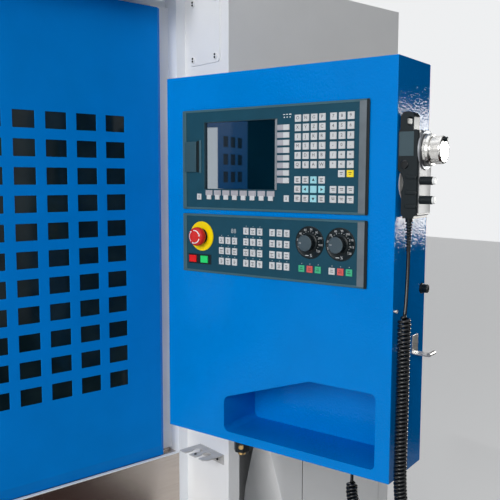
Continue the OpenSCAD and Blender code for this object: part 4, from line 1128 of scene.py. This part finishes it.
def make_pendant():
    """The hand-held box on a white holder disc whose crescent in its notch is a painted reflection: grey front,
    label, boss, ribs and scale ring.
    """
    dressed("pendant", 2.2, 3, 30)
    # The white disc shows as the pale crescent in the pendant's notch: a painted reflection of the light the
    # glossy side shows there.
    plate = turned("pendant_plate", (CAB_W + 0.1, PENDANT_W0 + 41, PENDANT_V + 58), RIGHT,
                   [(34, 0), (34, 0.55), (33.8, 0.75), (32, 0.75)], 64)
    on_panel(plate, handle_white, "bright_steel")
    front = block("pendant_front", (PENDANT_FRONT - 0.4, PENDANT_W0 + 4, PENDANT_V + 9),
                  (PENDANT_FRONT + 0.7, PENDANT_W1 - 4, PENDANT_V + 143))
    soften(front, 3.0, 3, 80)
    stepped(front, [(1.0, 0.2), (1.2, -0.25)], lambda c, n: n.x > 0.9)
    smooth(front)
    on_panel(front, plate_grey, "bright_steel")
    label = pad("pendant_label", (PENDANT_BACK + 1.4, PENDANT_W0 - 0.6, PENDANT_V + 104.5),
                (PENDANT_FRONT - 8.5, PENDANT_W0 + 0.5, PENDANT_V + 145), 0.4)
    on_panel(label, label_grey, "slate_plastic")
    boss = turned("pendant_boss", (PENDANT_BACK + 11.5, PENDANT_W0 + 0.4, PENDANT_V + 90.3), OUT,
                  [(7.4, 0), (7.4, 1.6), (6.4, 2.4), (4.4, 2.4), (4, 1.2)], 32)
    on_panel(boss, black_rubber, "black_plastic")
    ribs = [
        pad("pendant_rib", (PENDANT_BACK + 14, PENDANT_W0 - 2.2, v),
            (PENDANT_FRONT - 1.4, PENDANT_W1 + 2.2, v + 6.5), 1.4, 3)
        for v in (PENDANT_V + 17, PENDANT_V + 40, PENDANT_V + 66)
    ]
    on_panel(joined("pendant_ribs", ribs), black_plastic, "black_plastic")
    ring = turned("pulse_ring", RING, RIGHT, [(33.2, 0), (33.2, 2.6), (32.2, 3.3), (28.6, 3.4)], 64)
    on_panel(ring, silver_trim, "bright_steel")


def make_handwheel():
    """The pulse wheel: graduated skirt, polished steps, knurled grip and a cap with two screws."""
    profile = [(5, -12), (5, 4), (27, 4.2), (27.5, 4.6), (27.5, 9), (26.6, 9.6), (26.2, 13.2), (25, 14.6),
               (21.8, 14.8), (21.6, 16), (23.4, 16.6), (23.4, 30.4), (22.6, 32.4), (21, 33.4), (19, 33.6),
               (18.6, 33), (3, 33)]
    wheel = turned("pulse_wheel", RING, RIGHT, profile, 72, 0)
    fluted(wheel, lambda c, n: abs(n.x) < 0.2 and 17 < c.x - PENDANT_FRONT < 30
           and math.hypot(c.y - PENDANT_MID, c.z - RING_V) > 22.6, 0.28, 0.35, 28)
    pieces = [wheel]
    for turn in (math.radians(70), math.radians(250)):
        place = (PENDANT_FRONT + 33, PENDANT_MID + 11 * math.cos(turn), RING_V + 11 * math.sin(turn))
        head = [(2.6, 0), (2.6, 1.4), (2.2, 1.8), (1.2, 1.8), (1.1, 0.6)]
        pieces.append(turned("wheel_screw", place, RIGHT, head, 16))
    on_panel(joined("pulse_wheel", pieces), turned_steel, CAD_SLOTS["handwheel"], "hand_wheel", ["handwheel"])
    knob = turned("wheel_knob", (PENDANT_FRONT + 33.4, PENDANT_MID, RING_V + 17), RIGHT,
                  [(4.4, 0), (3.2, 1), (4.2, 3), (4.5, 4.4), (3, 5)], 24, 50)
    on_panel(knob, black_plastic, "black_plastic", "hand_wheel")
    ticks = []
    for i in range(50):
        long = 2.4 if i % 5 == 0 else 1.4
        tick = block("tick", (PENDANT_FRONT + 9 - long, -0.25, 27.35), (PENDANT_FRONT + 9, 0.25, 27.62))
        turn = Matrix.Rotation(2 * math.pi * i / 50, 4, "X")
        tick.data.transform(Matrix.Translation(Vector((0, PENDANT_MID, RING_V)) * MM) @ turn)
        ticks.append(tick)
    on_panel(joined("pulse_ticks", ticks), legend_ink, "black_plastic", "hand_wheel")


def make_selector(node, body, v):
    """A slim fluted selector with a white cap at its end."""
    w = PENDANT_W0 + 9
    place = (PENDANT_FRONT, w, v)
    knob = turned(node + "_stem", place, RIGHT, [(3, -9), (3, 1), (7, 1.2), (7, 22.4), (6.4, 23.4)], 32, 0)
    fluted(knob, lambda c, n: abs(n.x) < 0.2 and 3 < c.x - PENDANT_FRONT < 22
           and every_other(c.y - w, c.z - v, 11.25), 0.2, 0.5)
    on_panel(knob, black_plastic, CAD_SLOTS[node], body, [node])
    cap = turned(node + "_cap", place, RIGHT, [(6.2, 23), (6.2, 26.2), (5.4, 27.2), (1, 27.4)], 32)
    on_panel(cap, cap_white, "key_plastic", body)


make_cabinet()
make_pendant()
make_handwheel()
make_selector("axis_knob", "axis_selector", 533.4)
make_selector("step_knob", "step_selector", 501.4)

# ---------- enclosure, door and brackets ----------

STEP_FRONT = -615
DOOR_FRONT = -440
SIDE_FACE = 466
CAB_BOTTOM = shell_up[0] / MM
INNER_FRONT = min(v.co.y for v in nodes["left_panel"].data.vertices) / MM
PIVOT = Vector(joints["cabinet_swing"]["pos_m"]) / MM

# the width in millimetres by which edges are rounded on pieces that keep their CAD shape
ROUNDING = {
    5: "column",
    4: "bed",
    3: "saddle spindle_head magazine_bracket coolant_tank y_motor z_motor x_motor",
    2: "magazine_carriage",
    1.5: "head_cover spindle_motor",
    1.2: "carousel rear_cabinet rear_door levelling_feet control_housing lower_housing",
    1.0: "table front_frame apron",
    0.9: "right_panel rail_cover",
    0.8: "access_plate",
    0.5: "gun_bracket",
    0: "tool_holders chip_tray",
}


def fixed_piece(obj, material, node):
    """Finishes a piece made on the machine's own axes, on a CAD node's body."""
    return finish(obj, material, body_with(node))


def make_door():
    """The handle, painted black inside its channel for the shade there, the fixed panel with its window, and the
    sliding door.
    """
    handle = dressed("door_handle", 1.2, 3)
    low_x = min(v.co.x for v in handle.data.vertices) / MM
    # Black on the faces inside the handle's channel is painted shade.
    two_tone(handle, handle_white, black_plastic,
             lambda c, n: 2 < c.x - low_x < 48 and -488 < c.y < -443 and abs(n.y) + abs(n.x) > 0.9)
    fixed = dressed("left_panel", 0.9)
    two_tone(fixed, grey_paint, door_paint, lambda c, n: c.y < INNER_FRONT + 2 and abs(c.x) < 1098)
    # The dark side pane is painted shade for the machine's inside behind it.
    behind = pad("left_window", (-860, INNER_FRONT + 0.6, 980), (-660, INNER_FRONT + 7, 1690), 1.0)
    finish(behind, side_pane, body_with("left_panel"))
    dressed("door", 0.9, 2, 12)


def make_bracket():
    """The swing bracket: grey arms, a bright pin and a black foot."""
    bracket = dressed("swing_bracket", 1.2)
    bracket.data.materials.clear()
    for material in (grey_paint, turned_steel, black_plastic):
        bracket.data.materials.append(material)
    for face in bracket.data.polygons:
        x, y, z = face.center / MM
        if z < CAB_BOTTOM - 55:
            face.material_index = 2
        elif math.hypot(x - PIVOT.x, y - PIVOT.y) < 13.5:
            face.material_index = 1


def make_seam():
    """The dark line round the service cover."""
    seam = pad("service_seam", (725, STEP_FRONT - 0.9, 108), (1053, STEP_FRONT + 0.5, 792), 0.3, 1)
    fixed_piece(seam, black_rubber, "service_cover")


def make_screws():
    """Small dark screws on the post: two columns of four near the top and two single ones below."""
    rows = (1808, 1814.6, 1943.7, 1950.3)
    left = (-1, 0, 0)
    places = [((SIDE_FACE - 5.9, y, z), left, 2.7) for y in (-570, -480) for z in rows]
    places += [((SIDE_FACE - 6, -578, 814), left, 4.2), ((SIDE_FACE - 52, -547, 828), (0, 0, 1), 3.4)]
    screws = []
    for place, direction, radius in places:
        profile = [(radius, -0.5), (radius, 1.2), (radius - 0.6, 1.9)]
        profile += [(radius * 0.45, 1.9), (radius * 0.4, 0.9)]
        screws.append(turned("dark_screw", place, direction, profile, 24))
    fixed_piece(joined("dark_screws", screws), black_plastic, "access_plate")


def make_fitting():
    """The brass plug and tail under the swing bracket."""
    plug = turned("fitting_plug", (PIVOT.x - 13, PIVOT.y - 13, CAB_BOTTOM - 88), (-1, -1, 0),
                  [(6, -2), (6, 5), (4.6, 6.4), (2, 6.4)], 24)
    tail = turned("fitting_tail", (PIVOT.x, PIVOT.y, CAB_BOTTOM - 103), (0, 0, -1),
                  [(12, 0), (12, 3), (9, 4.4), (9, 9), (7.6, 10)], 24)
    fixed_piece(joined("brass_fitting", [plug, tail]), brass, "swing_bracket")


def make_trim():
    """The pale lip behind the door's closing edge, in the lighter handle enamel as painted light against the shade
    it sits in, and a white strip along the sill as a painted highlight on the apron's top edge.
    """
    lip = pad("jamb_lip", (386, DOOR_FRONT + 37, 799), (440, DOOR_FRONT + 40, 1948), 0.6)
    # The lip takes the lighter handle enamel: painted light against the shade behind the door's edge.
    fixed_piece(lip, handle_white, "front_frame")
    # The white strip stands in for the bright top edge of the stainless apron: a painted highlight.
    sill = pad("sill_highlight_strip", (-1098, DOOR_FRONT - 1.6, 793.4), (439, DOOR_FRONT + 7.5, 796.1), 0.5)
    fixed_piece(sill, post_paint, "apron")


for width, names in ROUNDING.items():
    for name in names.split():
        dressed(name, width)
dressed("service_cover", 1.5, 3)
make_door()
make_bracket()
make_seam()
make_screws()
make_fitting()
make_trim()

# ---------- floor and light ----------

FLOOR_LIFT = 0.35
ROOM_GLOW = 0.07


def seen_directly(tree):
    """One for what is looked at, or shows in metal and glass, and nothing for light on the object."""
    path = tree.nodes.new("ShaderNodeLightPath")
    seen = path.outputs["Is Camera Ray"]
    for other in ("Is Glossy Ray", "Is Transmission Ray"):
        either = tree.nodes.new("ShaderNodeMath")
        either.operation = "MAXIMUM"
        tree.links.new(seen, either.inputs[0])
        tree.links.new(path.outputs[other], either.inputs[1])
        seen = either.outputs[0]
    return seen


def flat_plane(name, size, middle=(0, 0, 0), rotation=(0, 0, 0)):
    nothing_selected()
    bpy.ops.mesh.primitive_plane_add(size=size, location=middle, rotation=rotation)
    bpy.context.object.name = name
    return bpy.context.object


def make_floor():
    """A pale floor that is lit up a little where it is looked at or reflected."""
    floor = flat_plane("floor", 30)
    material, shader = new_material("pale_floor", (0.72, 0.72, 0.72), 0.6)
    shader.inputs["Emission Color"].default_value = (0.98, 0.99, 1.0, 1)
    lift = add_node(material, "ShaderNodeMath", operation="MULTIPLY")
    lift.inputs[1].default_value = FLOOR_LIFT
    link(material, seen_directly(material.node_tree), lift.inputs[0])
    link(material, lift.outputs[0], shader.inputs["Emission Strength"])
    floor.data.materials.append(material)


def make_world():
    """A dim room whose surroundings are pale where they are looked at or reflected."""
    world = bpy.data.worlds.new("world")
    scene.world = world
    world.use_nodes = True
    tree = world.node_tree
    background = tree.nodes["Background"]
    background.inputs["Color"].default_value = (0.93, 0.96, 1.0, 1)
    background.inputs["Strength"].default_value = ROOM_GLOW
    shown = tree.nodes.new("ShaderNodeBackground")
    shown.inputs["Color"].default_value = (0.86, 0.87, 0.88, 1)
    shown.inputs["Strength"].default_value = 1.0
    mix = tree.nodes.new("ShaderNodeMixShader")
    tree.links.new(seen_directly(tree), mix.inputs["Fac"])
    tree.links.new(background.outputs["Background"], mix.inputs[1])
    tree.links.new(shown.outputs["Background"], mix.inputs[2])
    tree.links.new(mix.outputs["Shader"], tree.nodes["World Output"].inputs["Surface"])


def reflected_card(name, middle, size, color, strength=0.0, turn=90, tilt=90):
    """A card that only shows in reflections: upright and facing the side, unless turned or tilted."""
    card = flat_plane(name, 1, middle, (math.radians(tilt), 0, math.radians(turn)))
    card.scale = (size[0], size[1], 1)
    material, shader = new_material(name, color, 1.0, gloss=0.0)
    shader.inputs["Emission Color"].default_value = (*color, 1)
    shader.inputs["Emission Strength"].default_value = strength
    card.data.materials.append(material)
    card.visible_camera = False
    card.visible_diffuse = False
    card.visible_shadow = False


def area_light(name, place, aim, size, power, color=(1, 1, 1)):
    data = bpy.data.lights.new(name, "AREA")
    data.shape = "RECTANGLE"
    data.size, data.size_y = size
    data.energy = power
    data.color = color
    lamp = bpy.data.objects.new(name, data)
    scene.collection.objects.link(lamp)
    lamp.location = place
    lamp.rotation_euler = (Vector(aim) - Vector(place)).to_track_quat("-Z", "Y").to_euler()


make_floor()
make_world()
reflected_card("dark_card", (3.0, -1.8, 1.62), (4.4, 3.2), (0.0, 0.004, 0.012))
reflected_card("light_card", (2.95, -1.6, 1.55), (0.9, 0.62), (1.0, 1.0, 0.97), 16.0)
reflected_card("leaf_card", (-1.15, -0.42, 1.6), (0.66, 0.8), (0.0, 0.02, 0.03), turn=0)
reflected_card("floor_card", (0.1, -1.7, 0.02), (2.1, 1.4), (0.075, 0.028, 0.024), turn=0, tilt=0)
reflected_card("far_card", (0.9, -4.1, 0.02), (4.6, 3.4), (0.05, 0.065, 0.07), turn=0, tilt=0)
reflected_card("handle_card", (-0.358, -0.487, 1.38), (0.058, 0.58), (0.82, 0.9, 0.94), 2.4)
area_light("key_light", (-4.9, -2.8, 3.1), (0.4, -0.6, 1.3), (3.6, 2.8), 244, (1.0, 0.99, 0.97))
area_light("front_light", (-2.6, -4.8, 3.0), (0.2, -0.5, 1.2), (3.0, 2.0), 36)
area_light("top_light", (0.0, -0.5, 5.2), (0.0, -0.2, 0.0), (4, 4), 46, (0.96, 0.98, 1.0))
